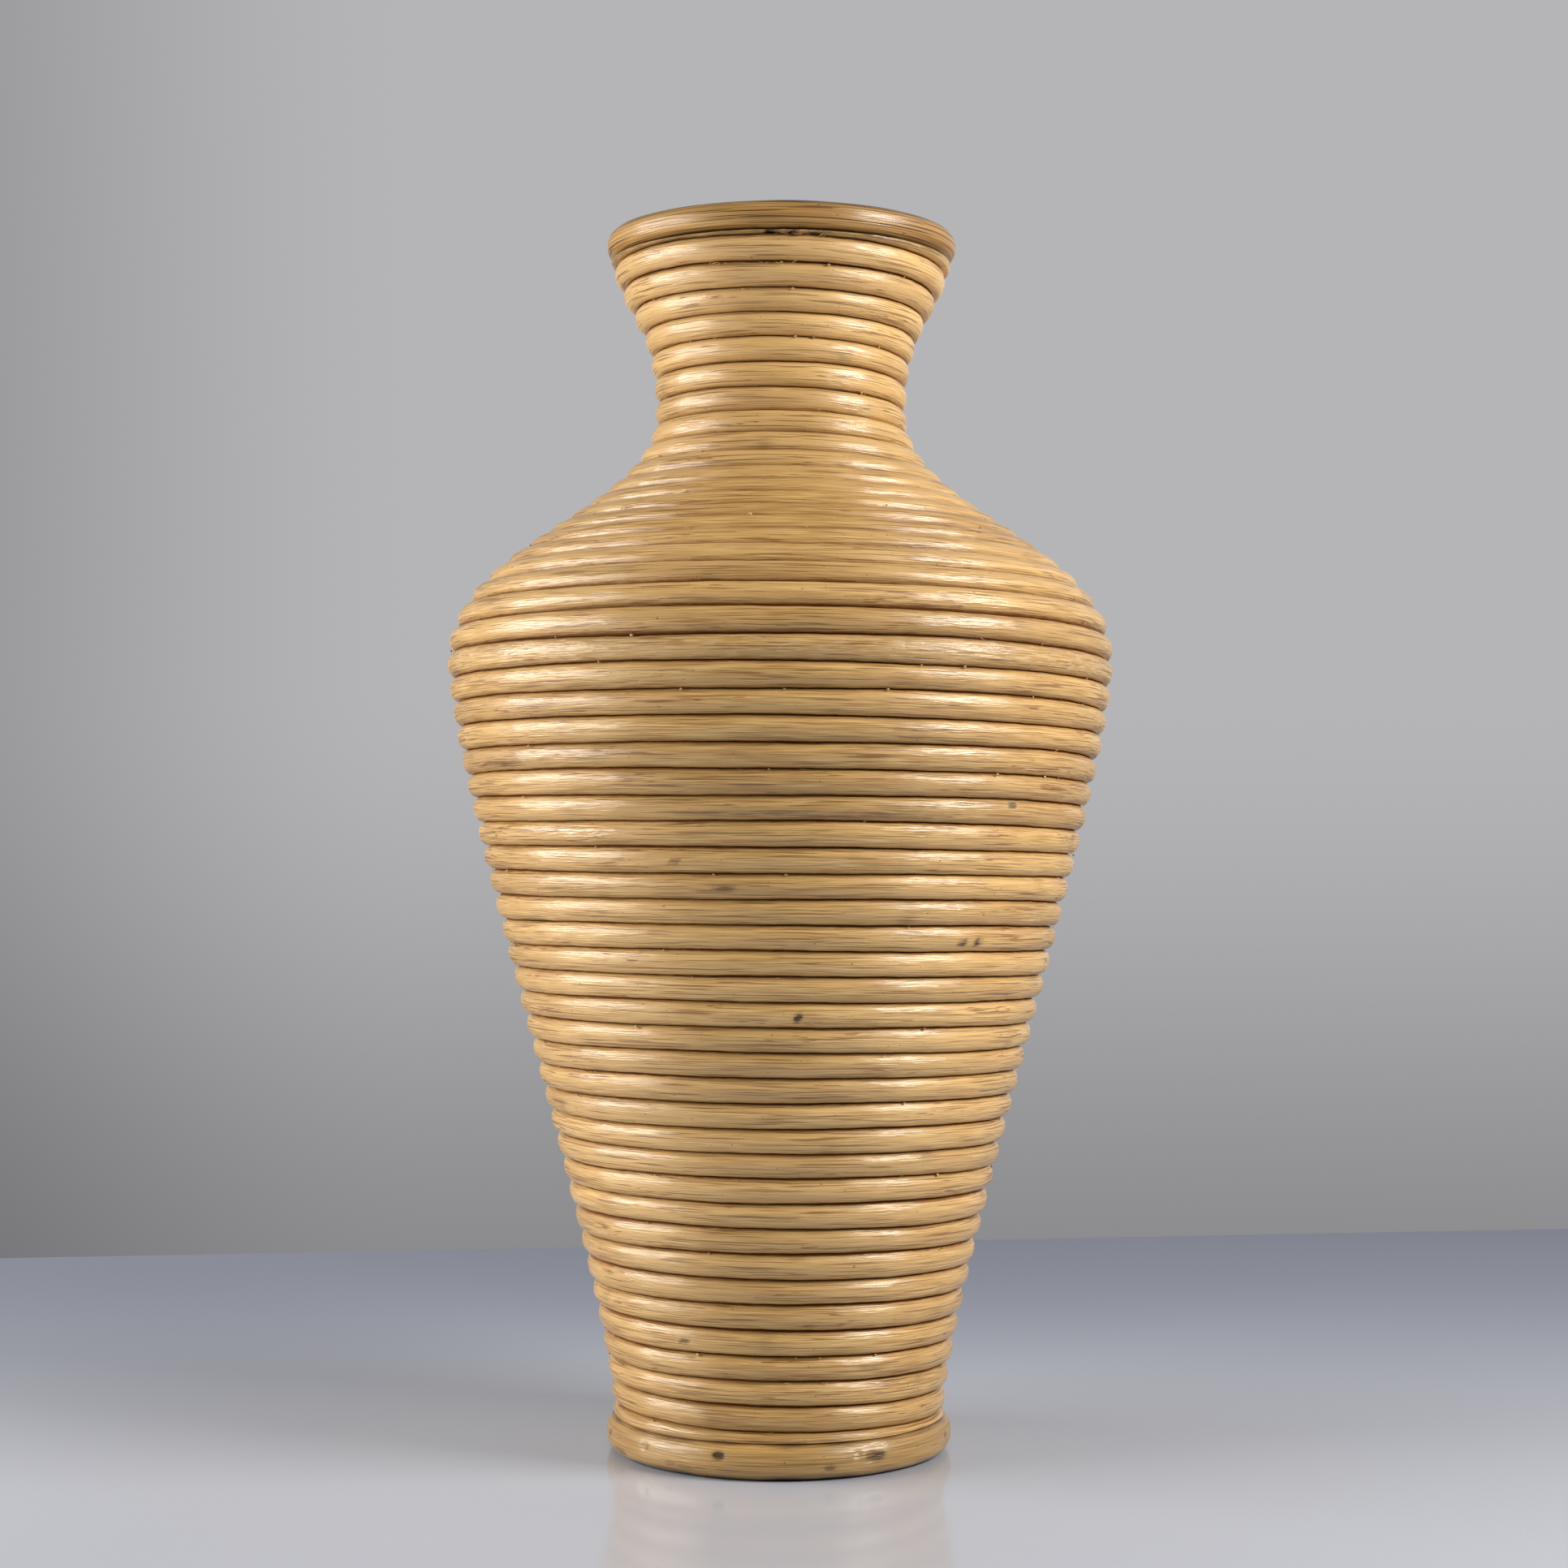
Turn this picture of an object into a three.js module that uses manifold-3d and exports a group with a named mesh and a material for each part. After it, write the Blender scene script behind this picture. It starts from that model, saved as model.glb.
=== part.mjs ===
// Floor vase of coiled cane.
//
// One spiral of peeled cane, wound from the foot up to the rim, is the whole wall. It is made of several
// lengths, spliced end to end, and both its ends are whittled to a taper, so that the level rim and the level
// foot fit a spiral. The rim and the foot are thicker poles, each bent round and closed with a scarf joint.
// The foot pole is nailed to the edge of a plywood disc, which closes the bottom.
//
// Millimetres. +Z is up, the floor is z = 0 and the vase's axis is the Z axis. Angles go round the axis from
// the front, which faces -Y, towards +X, and the spiral falls that way.

import * as THREE from "three";
import { mergeVertices } from "three/addons/utils/BufferGeometryUtils.js";
import Module from "manifold-3d";

// Cane and poles
const caneDiameter = 9.8;
const courseGap = 0.44;
const caneCount = 14;
const rimPole = 11.4;
const footPole = 15;
const seatGap = 0.3;

// Wall line, which runs through the middle of every course, from the rim pole to the foot pole
const height = 508;
const rimRadius = 67.7;
const neckRadius = 48;
const neckHeight = 432;
const bellyRadius = 134.3;
const bellyHeight = 328.5;
const footRadius = 64.3;

// How far the wall line leans in at the rim and at the foot, and for what share of each span it keeps its
// direction: the handles of its curves
const rimLean = 2.9;
const footLean = 5.7;
const rimHold = 0.39;
const neckHoldAbove = 0.61;
const neckHoldBelow = 0.43;
const bellyHoldAbove = 0.43;
const bellyHoldBelow = 0.16;
const footHold = 0.12;

// Spiral: each course lies nearly level over the front and steps down mostly at stepSide
const frontSeam = 1.8;
const stepSide = 122;
const stepStrength = 0.15;
const tipThickness = 1.6;

// Splices in the cane, and the scarf joints that close the two poles, all on the side away from the front
const caneScarf = 28;
const poleScarf = 44;
const spliceSide = 180;
const spliceSpread = 36;
const rimScarfSide = 202.5;
const footScarfSide = 158;

// Foot nails, through the foot pole into the edge of the disc and clear of its scarf joint
const nailAngles = [-78, -51, -21, 32, 74, 106, 130, 186, 212, 246];
const nailShank = 2.2;
const nailLength = 34;
const nailHead = 4.8;
const nailHeadThickness = 1;
const nailSink = 0.6;
const nailClearance = 0.3;

// Base disc
const discThickness = 9;
const discGap = 0.3;

// Facets
const stepsPerTurn = 20;
const poleStepsPerTurn = 40;
const poleSides = 8;
const discSides = poleStepsPerTurn;
const nailSides = 6;

// How closely a place on the wall line is found, and how near two points are one
const seatTolerance = 0.001;
const pointTolerance = 1e-4;

const turn = 2 * Math.PI;
const radians = THREE.MathUtils.degToRad;

const caneMaterial = new THREE.MeshStandardMaterial({ color: 0xc39c64, roughness: 0.42, metalness: 0 });
const poleMaterial = new THREE.MeshStandardMaterial({ color: 0xa9814c, roughness: 0.46, metalness: 0 });
const plywoodMaterial = new THREE.MeshStandardMaterial({ color: 0xb99a6c, roughness: 0.75, metalness: 0 });
const steelMaterial = new THREE.MeshStandardMaterial({ color: 0x4f463b, roughness: 0.55, metalness: 0.8 });

// Places on the wall line

const rimCentre = new THREE.Vector2(rimRadius, height - rimPole / 2);
const neck = new THREE.Vector2(neckRadius, neckHeight);
const belly = new THREE.Vector2(bellyRadius, bellyHeight);
const footCentre = new THREE.Vector2(footRadius, footPole / 2);

function handle(from, across, up) {
  return new THREE.Vector2(from.x + across, from.y + up);
}

const mouthSpan = rimCentre.y - neck.y;
const shoulderSpan = neck.y - belly.y;
const bodySpan = belly.y - footCentre.y;
const wallLine = new THREE.CurvePath();
wallLine.add(
  new THREE.CubicBezierCurve(
    rimCentre,
    handle(rimCentre, -rimLean, -rimHold * mouthSpan),
    handle(neck, 0, neckHoldAbove * mouthSpan),
    neck,
  ),
);
wallLine.add(
  new THREE.CubicBezierCurve(
    neck,
    handle(neck, 0, -neckHoldBelow * shoulderSpan),
    handle(belly, 0, bellyHoldAbove * shoulderSpan),
    belly,
  ),
);
wallLine.add(
  new THREE.CubicBezierCurve(
    belly,
    handle(belly, 0, -bellyHoldBelow * bodySpan),
    handle(footCentre, -footLean, footHold * bodySpan),
    footCentre,
  ),
);
const wallLength = wallLine.getLength();

// How far a point of the wall line lies outside the flat sides of a pole.
function clearOfPole(along, centre, diameter) {
  const offset = wallLine.getPoint(along / wallLength).sub(centre);
  const reaches = Array.from({ length: poleSides }, (_, side) => {
    const angle = (side / poleSides) * turn;
    return offset.x * Math.cos(angle) + offset.y * Math.sin(angle);
  });
  return Math.max(...reaches) - diameter / 2;
}

// The place on the wall line where it has left a pole by the seat gap, between the pole's middle and a place
// that is clear of it.
function seatOnPole(middle, clear, centre, diameter) {
  let inside = middle;
  let outside = clear;
  while (Math.abs(outside - inside) > seatTolerance) {
    const between = (inside + outside) / 2;
    if (clearOfPole(between, centre, diameter) < seatGap) inside = between;
    else outside = between;
  }
  return outside;
}

// The spiral

const pitch = caneDiameter + courseGap;
const underRim = seatOnPole(0, rimPole, rimCentre, rimPole);
const overFoot = seatOnPole(wallLength, wallLength - footPole, footCentre, footPole);
const firstCourse = underRim + frontSeam + caneDiameter / 2;

// How many courses the spiral has come down at an angle, from where it passes the front under the rim.
function coursesDown(angle) {
  const side = radians(stepSide);
  return angle / turn + stepStrength * (Math.sin(angle - side) + Math.sin(side));
}

// The stretch of the wall line that the cane fills at a station, cut off level with the rim and the foot.
function bandAt(station) {
  const middle = firstCourse + pitch * coursesDown((station / stepsPerTurn) * turn);
  const top = Math.max(middle - caneDiameter / 2, underRim);
  const bottom = Math.min(middle + caneDiameter / 2, overFoot);
  return { middle: (top + bottom) / 2, thickness: bottom - top };
}

// Corners of the cane's section as shares of its width and thickness: as wide, as thick and as heavy as a
// round cane. Opposite courses meet at a corner, so they clear each other on every bend of the wall.
const flatShare = 0.285;
const caneCorners = [
  [0, 0.5],
  [-0.5, flatShare],
  [-0.5, -flatShare],
  [0, -0.5],
  [0.5, -flatShare],
  [0.5, flatShare],
];

// The section at a station, as points of radius and height. A whittled end narrows as a rod cut flat does.
function caneSection(station) {
  const { middle, thickness } = bandAt(station);
  const centre = wallLine.getPoint(middle / wallLength);
  const down = wallLine.getTangent(middle / wallLength);
  const share = Math.min(thickness / caneDiameter, 1);
  const width = caneDiameter * Math.sqrt(share * (2 - share));
  return caneCorners.map(([across, up]) => {
    const outward = across * width;
    const downward = -up * thickness;
    return new THREE.Vector2(
      centre.x - down.y * outward + down.x * downward,
      centre.y + down.x * outward + down.y * downward,
    );
  });
}

// The middle of the pole's facet at an angle. Nails are put there, so that a hole cuts only flat faces.
function facetMiddle(angle) {
  const facet = 360 / poleStepsPerTurn;
  return (Math.floor(angle / facet) + 0.5) * facet;
}

function roundAxis(point, angle) {
  return new THREE.Vector3(point.x * Math.sin(angle), -point.x * Math.cos(angle), point.y);
}

function caneCornerAt(station, corner) {
  return roundAxis(caneSection(station)[corner], (station / stepsPerTurn) * turn);
}

// Rods

// A rod along a polygon of stations. Corner k of its section runs from starts[k] to ends[k], which lie at
// different stations where the end is cut slanting. Its two end faces close it.
function rodGeometry(starts, ends, cornerAt) {
  const positions = [];
  const indices = [];
  const known = new Map();

  function vertex(station, corner) {
    const place = THREE.MathUtils.clamp(station, starts[corner], ends[corner]);
    const key = `${corner} ${place}`;
    if (!known.has(key)) {
      const before = cornerAt(Math.floor(place), corner);
      const after = cornerAt(Math.floor(place) + 1, corner);
      known.set(key, positions.length / 3);
      positions.push(...before.lerp(after, place - Math.floor(place)).toArray());
    }
    return known.get(key);
  }

  function face(a, b, c) {
    if (a !== b && b !== c && c !== a) indices.push(a, b, c);
  }

  const sides = starts.length;
  const first = Math.floor(Math.min(...starts));
  const last = Math.ceil(Math.max(...ends));
  for (let station = first; station < last; station++) {
    for (let corner = 0; corner < sides; corner++) {
      const next = (corner + 1) % sides;
      const here = vertex(station, corner);
      const beside = vertex(station, next);
      const ahead = vertex(station + 1, corner);
      const aheadBeside = vertex(station + 1, next);
      face(here, aheadBeside, beside);
      face(here, ahead, aheadBeside);
    }
  }
  for (let corner = 1; corner < sides - 1; corner++) {
    face(vertex(first, 0), vertex(first, corner), vertex(first, corner + 1));
    face(vertex(last, 0), vertex(last, corner + 1), vertex(last, corner));
  }

  const geometry = new THREE.BufferGeometry();
  geometry.setAttribute("position", new THREE.Float32BufferAttribute(positions, 3));
  geometry.setIndex(indices);
  return geometry;
}

// One side of a scarf joint: the station of each corner on its slanting face. The face runs from the rod's
// outside to its inside over the scarf's length, and side, -1 or 1, is the side of the gap it lies on.
function scarfFace(station, shares, scarf, thickness, stepLength, side) {
  const gapAlong = (seatGap * Math.hypot(scarf, thickness)) / thickness;
  return shares.map((across) => station + (across * scarf + (side * gapAlong) / 2) / stepLength);
}

// Cane lengths

// The first and last stations, where the tapers are as thin as a knife leaves them
let topStation = 0;
while (bandAt(topStation - 1).thickness > tipThickness) topStation--;
let bottomStation = topStation + 1;
while (bandAt(bottomStation + 1).thickness > tipThickness) bottomStation++;

function stepLengthAt(station) {
  return caneCornerAt(station, 0).distanceTo(caneCornerAt(station + 1, 0));
}

const lengthTo = [0];
for (let station = topStation; station < bottomStation; station++) {
  lengthTo.push(lengthTo.at(-1) + stepLengthAt(station));
}
const spiralLength = lengthTo.at(-1);

// A splice comes where the cane runs out, moved along to the side of the vase where splices are kept.
function spliceStation(number) {
  const reached = lengthTo.findIndex((length) => length >= (number * spiralLength) / caneCount);
  const angle = spliceSide + spliceSpread * ((number % 3) - 1);
  const wanted = (angle / 360) * stepsPerTurn;
  const turns = Math.round((topStation + reached - wanted) / stepsPerTurn);
  return wanted + turns * stepsPerTurn;
}

const caneShares = caneCorners.map(([across]) => across);

function cutEnd(station, side) {
  if (station === topStation || station === bottomStation) return caneShares.map(() => station);
  const stepLength = stepLengthAt(Math.floor(station));
  return scarfFace(station, caneShares, caneScarf, caneDiameter, stepLength, side);
}

const cuts = [topStation];
for (let number = 1; number < caneCount; number++) cuts.push(spliceStation(number));
cuts.push(bottomStation);

// Cane lengths are numbered from the foot up, as they are wound.
function caneLengths() {
  return cuts.slice(0, -1).map((from, place) => {
    const geometry = rodGeometry(cutEnd(from, 1), cutEnd(cuts[place + 1], -1), caneCornerAt);
    const number = String(caneCount - place).padStart(2, "0");
    return named(`cane_${number}`, geometry, caneMaterial);
  });
}

// The least distance from one course to the next, measured from the corners of each section to the sides of
// the section a turn further on, which lies in the same upright plane.
function leastCourseGap() {
  let least = Infinity;
  const nearest = new THREE.Vector3();
  for (let station = topStation; station + stepsPerTurn <= bottomStation; station++) {
    const upper = caneSection(station).map((p) => new THREE.Vector3(p.x, p.y, 0));
    const lower = caneSection(station + stepsPerTurn).map((p) => new THREE.Vector3(p.x, p.y, 0));
    for (const [points, outline] of [[upper, lower], [lower, upper]]) {
      outline.forEach((from, corner) => {
        const side = new THREE.Line3(from, outline[(corner + 1) % outline.length]);
        for (const point of points) {
          side.closestPointToPoint(point, true, nearest);
          least = Math.min(least, nearest.distanceTo(point));
        }
      });
    }
  }
  return least;
}

// Rim and foot poles

// Corners of a pole's section round its middle, with a flat on top and one below.
function poleSection(diameter) {
  const radius = diameter / 2 / Math.cos(Math.PI / poleSides);
  return Array.from({ length: poleSides }, (_, corner) => {
    const angle = ((corner + 0.5) / poleSides) * turn;
    return new THREE.Vector2(radius * Math.cos(angle), radius * Math.sin(angle));
  });
}

function poleRing(centre, diameter, scarfSide) {
  const section = poleSection(diameter);
  const cornerAt = (station, corner) =>
    roundAxis(section[corner].clone().add(centre), (station / poleStepsPerTurn) * turn);
  const shares = section.map((point) => point.x / diameter);
  const station = (scarfSide / 360) * poleStepsPerTurn;
  const stepLength = (turn * centre.x) / poleStepsPerTurn;
  const starts = scarfFace(station, shares, poleScarf, diameter, stepLength, 1);
  const ends = scarfFace(station + poleStepsPerTurn, shares, poleScarf, diameter, stepLength, -1);
  return rodGeometry(starts, ends, cornerAt);
}

// Nails

// A nail along +X from the middle of the vase, with its head where the foot pole's outside is. Its hole has
// the same outline with a clearance, and is open outwards.
function nailOutline(clearance) {
  const outside = footRadius + footPole / 2;
  const headTop = outside - nailSink;
  const point = headTop - nailLength - clearance;
  const shank = nailShank / 2 + clearance;
  const head = nailHead / 2 + clearance;
  const headBottom = headTop - nailHeadThickness - clearance;
  const top = clearance > 0 ? outside + footPole : headTop;
  return [
    new THREE.Vector2(0, point),
    new THREE.Vector2(shank, point + shank),
    new THREE.Vector2(shank, headBottom),
    new THREE.Vector2(head, headBottom),
    new THREE.Vector2(head, top),
    new THREE.Vector2(0, top),
  ];
}

function nailGeometry(angle, clearance) {
  const geometry = new THREE.LatheGeometry(nailOutline(clearance), nailSides);
  geometry.rotateX(Math.PI);
  geometry.rotateZ(radians(facetMiddle(angle)));
  geometry.translate(0, 0, footPole / 2);
  return geometry;
}

// Joining and cutting

const wasm = await Module();
wasm.setup();

function solidFrom(geometry) {
  const bare = geometry.clone();
  bare.deleteAttribute("normal");
  bare.deleteAttribute("uv");
  const merged = mergeVertices(bare, pointTolerance);
  return new wasm.Manifold(
    new wasm.Mesh({
      numProp: 3,
      vertProperties: merged.attributes.position.array,
      triVerts: new Uint32Array(merged.index.array),
    }),
  );
}

function geometryFrom(solid) {
  const mesh = solid.getMesh();
  const geometry = new THREE.BufferGeometry();
  geometry.setAttribute("position", new THREE.BufferAttribute(mesh.vertProperties, 3));
  geometry.setIndex(new THREE.BufferAttribute(mesh.triVerts, 1));
  return geometry;
}

function withNailHoles(geometry) {
  let solid = solidFrom(geometry);
  for (const angle of nailAngles) solid = solid.subtract(solidFrom(nailGeometry(angle, nailClearance)));
  return geometryFrom(solid);
}

// Pieces

function named(name, geometry, material) {
  geometry.computeVertexNormals();
  const mesh = new THREE.Mesh(geometry, material);
  mesh.name = name;
  return mesh;
}

function rimRing() {
  return named("rim_ring", poleRing(rimCentre, rimPole, rimScarfSide), poleMaterial);
}

function footRing() {
  return named("foot_ring", withNailHoles(poleRing(footCentre, footPole, footScarfSide)), poleMaterial);
}

function baseDisc() {
  const radius = footRadius - footPole / 2 - discGap;
  const disc = new THREE.CylinderGeometry(radius, radius, discThickness, discSides);
  disc.rotateX(Math.PI / 2);
  disc.translate(0, 0, footPole / 2);
  return named("base_disc", withNailHoles(disc), plywoodMaterial);
}

function footNails() {
  return nailAngles.map((angle, place) => {
    const number = String(place + 1).padStart(2, "0");
    return named(`foot_nail_${number}`, nailGeometry(angle, 0), steelMaterial);
  });
}

const vase = new THREE.Group();
vase.add(rimRing(), footRing(), baseDisc(), ...footNails(), ...caneLengths());

console.log(`least gap from course to course: ${leastCourseGap().toFixed(2)} mm`);
console.log(`${caneCount} lengths of cane, each about ${(spiralLength / caneCount / 1000).toFixed(2)} m`);

export default vase;
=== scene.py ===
# %% [markdown]
# # A floor vase of coiled cane
#
# The wall of this vase is one spiral of peeled cane, laid course on course like a coil pot. A thicker pole
# closes the rim, another makes the foot, and a plywood disc nailed into the foot closes the bottom.
#
# The working drawing of the vase is loaded first and stays as it is. Every visible piece is then made over
# its own solid in that drawing, finer and with its real surface. Sizes below are millimetres, as in the
# drawing, and turn into metres only where a mesh gets its points.

import math

import bpy
import numpy as np
from mathutils import Matrix, Vector


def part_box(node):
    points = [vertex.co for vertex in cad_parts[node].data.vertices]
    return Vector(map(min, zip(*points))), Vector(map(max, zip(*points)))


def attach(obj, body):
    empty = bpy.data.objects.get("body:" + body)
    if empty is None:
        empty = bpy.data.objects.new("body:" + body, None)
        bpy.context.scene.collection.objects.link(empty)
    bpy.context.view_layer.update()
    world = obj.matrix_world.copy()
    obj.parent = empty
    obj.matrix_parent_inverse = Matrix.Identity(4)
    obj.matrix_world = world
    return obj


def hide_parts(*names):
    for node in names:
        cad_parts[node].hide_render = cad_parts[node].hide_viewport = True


MM = 0.001
TURN = 2 * math.pi

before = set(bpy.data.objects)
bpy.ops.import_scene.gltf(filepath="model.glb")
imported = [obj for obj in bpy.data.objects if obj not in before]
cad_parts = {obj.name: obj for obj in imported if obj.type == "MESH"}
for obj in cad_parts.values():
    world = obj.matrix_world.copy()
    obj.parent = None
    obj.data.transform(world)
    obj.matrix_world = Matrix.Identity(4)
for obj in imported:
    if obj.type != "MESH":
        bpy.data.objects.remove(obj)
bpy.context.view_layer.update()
bpy.ops.object.select_all(action="DESELECT")
cane_nodes = sorted(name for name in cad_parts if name.startswith("cane_"))
nail_nodes = sorted(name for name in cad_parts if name.startswith("foot_nail_"))
print(len(cane_nodes), "lengths of cane and", len(nail_nodes), "nails in the drawing")

# %% [markdown]
# ## Sizes
#
# The drawing gives the poles: a ring's box is as high as its pole is thick, and its reach across tells
# where the pole's middle runs. The cane's diameter and the shape of the wall are the maker's own choices,
# so they are written here once, and everything else is worked out from them.

# %% Sizes of the poles, from the drawing


def ring_sizes(node):
    """Diameter of the pole, and radius and height of the ring's middle line, in mm."""
    low, high = (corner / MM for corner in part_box(node))
    pole = high.z - low.z
    return pole, high.x - pole / 2, (high.z + low.z) / 2


RIM_POLE, RIM_RADIUS, RIM_HEIGHT = ring_sizes("rim_ring")
FOOT_POLE, FOOT_RADIUS, FOOT_HEIGHT = ring_sizes("foot_ring")
print(f"rim pole {RIM_POLE:.1f} at radius {RIM_RADIUS:.1f}, foot pole {FOOT_POLE:.1f} at {FOOT_RADIUS:.1f}")

# %% Sizes of the cane and the wall

# The cane's diameter, and how far each course lies below the one before
CANE = 9.8
COURSE = 10.24

# The drawing's gap to the rim and the foot, and how far below the rim the first whole course starts
SEAT_GAP = 0.3
FRONT_SEAM = 1.8

NECK_RADIUS, NECK_HEIGHT = 48, 432
BELLY_RADIUS, BELLY_HEIGHT = 134.3, 328.5

# Where the courses step down most, and how much of a course this adds
STEP_SIDE = math.radians(122)
STEP_STRENGTH = 0.15

print(f"cane {CANE} mm thick, the belly's middle line at radius {BELLY_RADIUS}")

# %% [markdown]
# ## The wall line
#
# Seen in section, the middles of all the courses lie on one smooth line that runs from the rim, in to the
# neck, out over the belly and down to the foot. It could be traced by hand with a curve object. Three cubic
# curves written as a formula are used instead, because the courses have to be placed by the distance that
# they lie down this line, and a formula gives that to any number of digits.

# %% The wall line, and how far down it a place lies
CURVE_STEPS = 600


def cubic(start, first_handle, last_handle, end):
    """Points on a cubic curve, as radius and height."""
    t = np.linspace(0, 1, CURVE_STEPS + 1)[:, None]
    corners = [np.array(point, float) for point in (start, first_handle, last_handle, end)]
    shares = [(1 - t) ** 3, 3 * (1 - t) ** 2 * t, 3 * (1 - t) * t**2, t**3]
    return sum(share * corner for share, corner in zip(shares, corners))


def wall_curves():
    """The whole wall line. Handles lie at shares of a curve's height, and a few mm inwards at both ends."""
    mouth = RIM_HEIGHT - NECK_HEIGHT
    shoulder = NECK_HEIGHT - BELLY_HEIGHT
    body = BELLY_HEIGHT - FOOT_HEIGHT
    return np.concatenate([
        cubic(
            (RIM_RADIUS, RIM_HEIGHT),
            (RIM_RADIUS - 2.9, RIM_HEIGHT - 0.39 * mouth),
            (NECK_RADIUS, NECK_HEIGHT + 0.61 * mouth),
            (NECK_RADIUS, NECK_HEIGHT),
        ),
        cubic(
            (NECK_RADIUS, NECK_HEIGHT),
            (NECK_RADIUS, NECK_HEIGHT - 0.43 * shoulder),
            (BELLY_RADIUS, BELLY_HEIGHT + 0.43 * shoulder),
            (BELLY_RADIUS, BELLY_HEIGHT),
        )[1:],
        cubic(
            (BELLY_RADIUS, BELLY_HEIGHT),
            (BELLY_RADIUS, BELLY_HEIGHT - 0.16 * body),
            (FOOT_RADIUS - 5.7, FOOT_HEIGHT + 0.12 * body),
            (FOOT_RADIUS, FOOT_HEIGHT),
        )[1:],
    ])


wall = wall_curves()
steps = np.linalg.norm(np.diff(wall, axis=0), axis=1)
wall_distance = np.concatenate([[0], np.cumsum(steps)])


def wall_point(distance):
    """Radius and height on the wall line, this far down it."""
    return np.stack([np.interp(distance, wall_distance, wall[:, k]) for k in (0, 1)], axis=-1)


def wall_down(distance):
    """The direction of the wall line, this far down it."""
    step = wall_point(distance + 0.5) - wall_point(distance - 0.5)
    return step / np.linalg.norm(step, axis=-1, keepdims=True)


def distance_at_height(height):
    """How far down the wall line it passes a height."""
    return float(np.interp(-height, -wall[:, 1], wall_distance))


print(f"the wall line is {wall_distance[-1]:.1f} mm long")

# %% [markdown]
# ## The spiral
#
# A coiled wall has no separate rings: the cane comes down a little with every turn. On this vase it lies
# almost level over the front and steps down mostly at one side, which a sine added to the steady fall
# gives. A screw tool could only climb evenly on one radius, so the place of each course is again a formula.
#
# Where two courses touch, they share one seam. Real cane is never quite even, so the seam wanders by a few
# tenths of a millimetre. Both courses are built up to the same wandering seam, and the wall stays closed.

# %% Where each course lies
rim_seat = distance_at_height(RIM_HEIGHT - RIM_POLE / 2 - SEAT_GAP)
foot_seat = distance_at_height(FOOT_HEIGHT + FOOT_POLE / 2 + SEAT_GAP)
FIRST_COURSE = rim_seat + FRONT_SEAM + CANE / 2
UNDER_RIM = rim_seat - SEAT_GAP
OVER_FOOT = foot_seat + SEAT_GAP

# The courses were laid by eye: how far they have drifted down from even spacing, in mm, after so many turns
DRIFT = [(0, 0), (6, 0), (9, 0.6), (20, 0), (28, -0.8), (41, -0.9), (45, 0.4), (48, 1.7), (60, 2.2)]


def course_middle(turns):
    """How far down the wall line the cane's middle lies. Turns count from the front, under the rim."""
    stepping = np.sin(TURN * turns - STEP_SIDE) + math.sin(STEP_SIDE)
    drift = np.interp(turns, *zip(*DRIFT))
    return FIRST_COURSE + COURSE * (turns + STEP_STRENGTH * stepping) + drift


# A table of how much cane each turn takes, wider than the spiral at both ends
TURNS_PER_STEP = 1 / 200
turn_table = np.arange(-3, 60, TURNS_PER_STEP)
radius_table = wall_point(course_middle(turn_table))[:, 0]
length_table = np.cumsum(TURN * radius_table * TURNS_PER_STEP)


def cane_length(turns):
    """How much cane has been wound, from above the rim down to here."""
    return np.interp(turns, turn_table, length_table)


# Wave lengths and heights of the seam's wander
WANDER = [(330, 0.24), (190, 0.15), (87, 0.08), (43, 0.05), (19, 0.05), (9, 0.03)]
rng = np.random.default_rng(11)
wander_phases = rng.uniform(0, TURN, len(WANDER))


def seam_below(turns):
    """How far down the wall line the seam under this place of the spiral lies."""
    length = cane_length(turns)
    wander = sum(
        height * np.sin(TURN * length / wave + phase)
        for (wave, height), phase in zip(WANDER, wander_phases)
    )
    return course_middle(turns) + COURSE / 2 + wander


# The spiral begins and ends where the whittled cane is this thick, in mm
TIP = 0.7
after_start = seam_below(turn_table) - UNDER_RIM > TIP
before_end = OVER_FOOT - seam_below(turn_table - 1) > TIP
first_turn = turn_table[after_start][0]
last_turn = turn_table[before_end][-1]
print(f"the spiral has {last_turn - first_turn:.1f} turns")

# %% [markdown]
# ## Splices
#
# Cane is sold in lengths of a few metres, so the spiral is pieced together: the end of one length and the
# start of the next are cut to the same slant and glued. The drawing keeps the splices at the back, in three
# places by turns. Which turn it is follows from the drawing too: the cane below a splice reaches no higher
# than there.

# %% Where the lengths of cane meet

# Where the splices lie and how far apart, in degrees from the front, and how long their slanting cut is
SPLICE_SIDE = 180
SPLICE_SPREAD = 36
SPLICE_PLACES = 3
CANE_SCARF = 28


def splice_turn(number):
    """The turn of a splice, counted from the rim down."""
    angle = SPLICE_SIDE + SPLICE_SPREAD * (number % SPLICE_PLACES - 1)
    choices = angle / 360 + np.arange(int(last_turn))
    tops = wall_point(course_middle(choices))[:, 1] + CANE / 2
    drawn_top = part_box(cane_nodes[-number - 1])[1].z / MM
    return choices[np.abs(tops - drawn_top).argmin()]


cuts = [first_turn, *(splice_turn(number) for number in range(1, len(cane_nodes))), last_turn]
print("the cane is cut at turns", ", ".join(f"{cut:.2f}" for cut in cuts))
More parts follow.
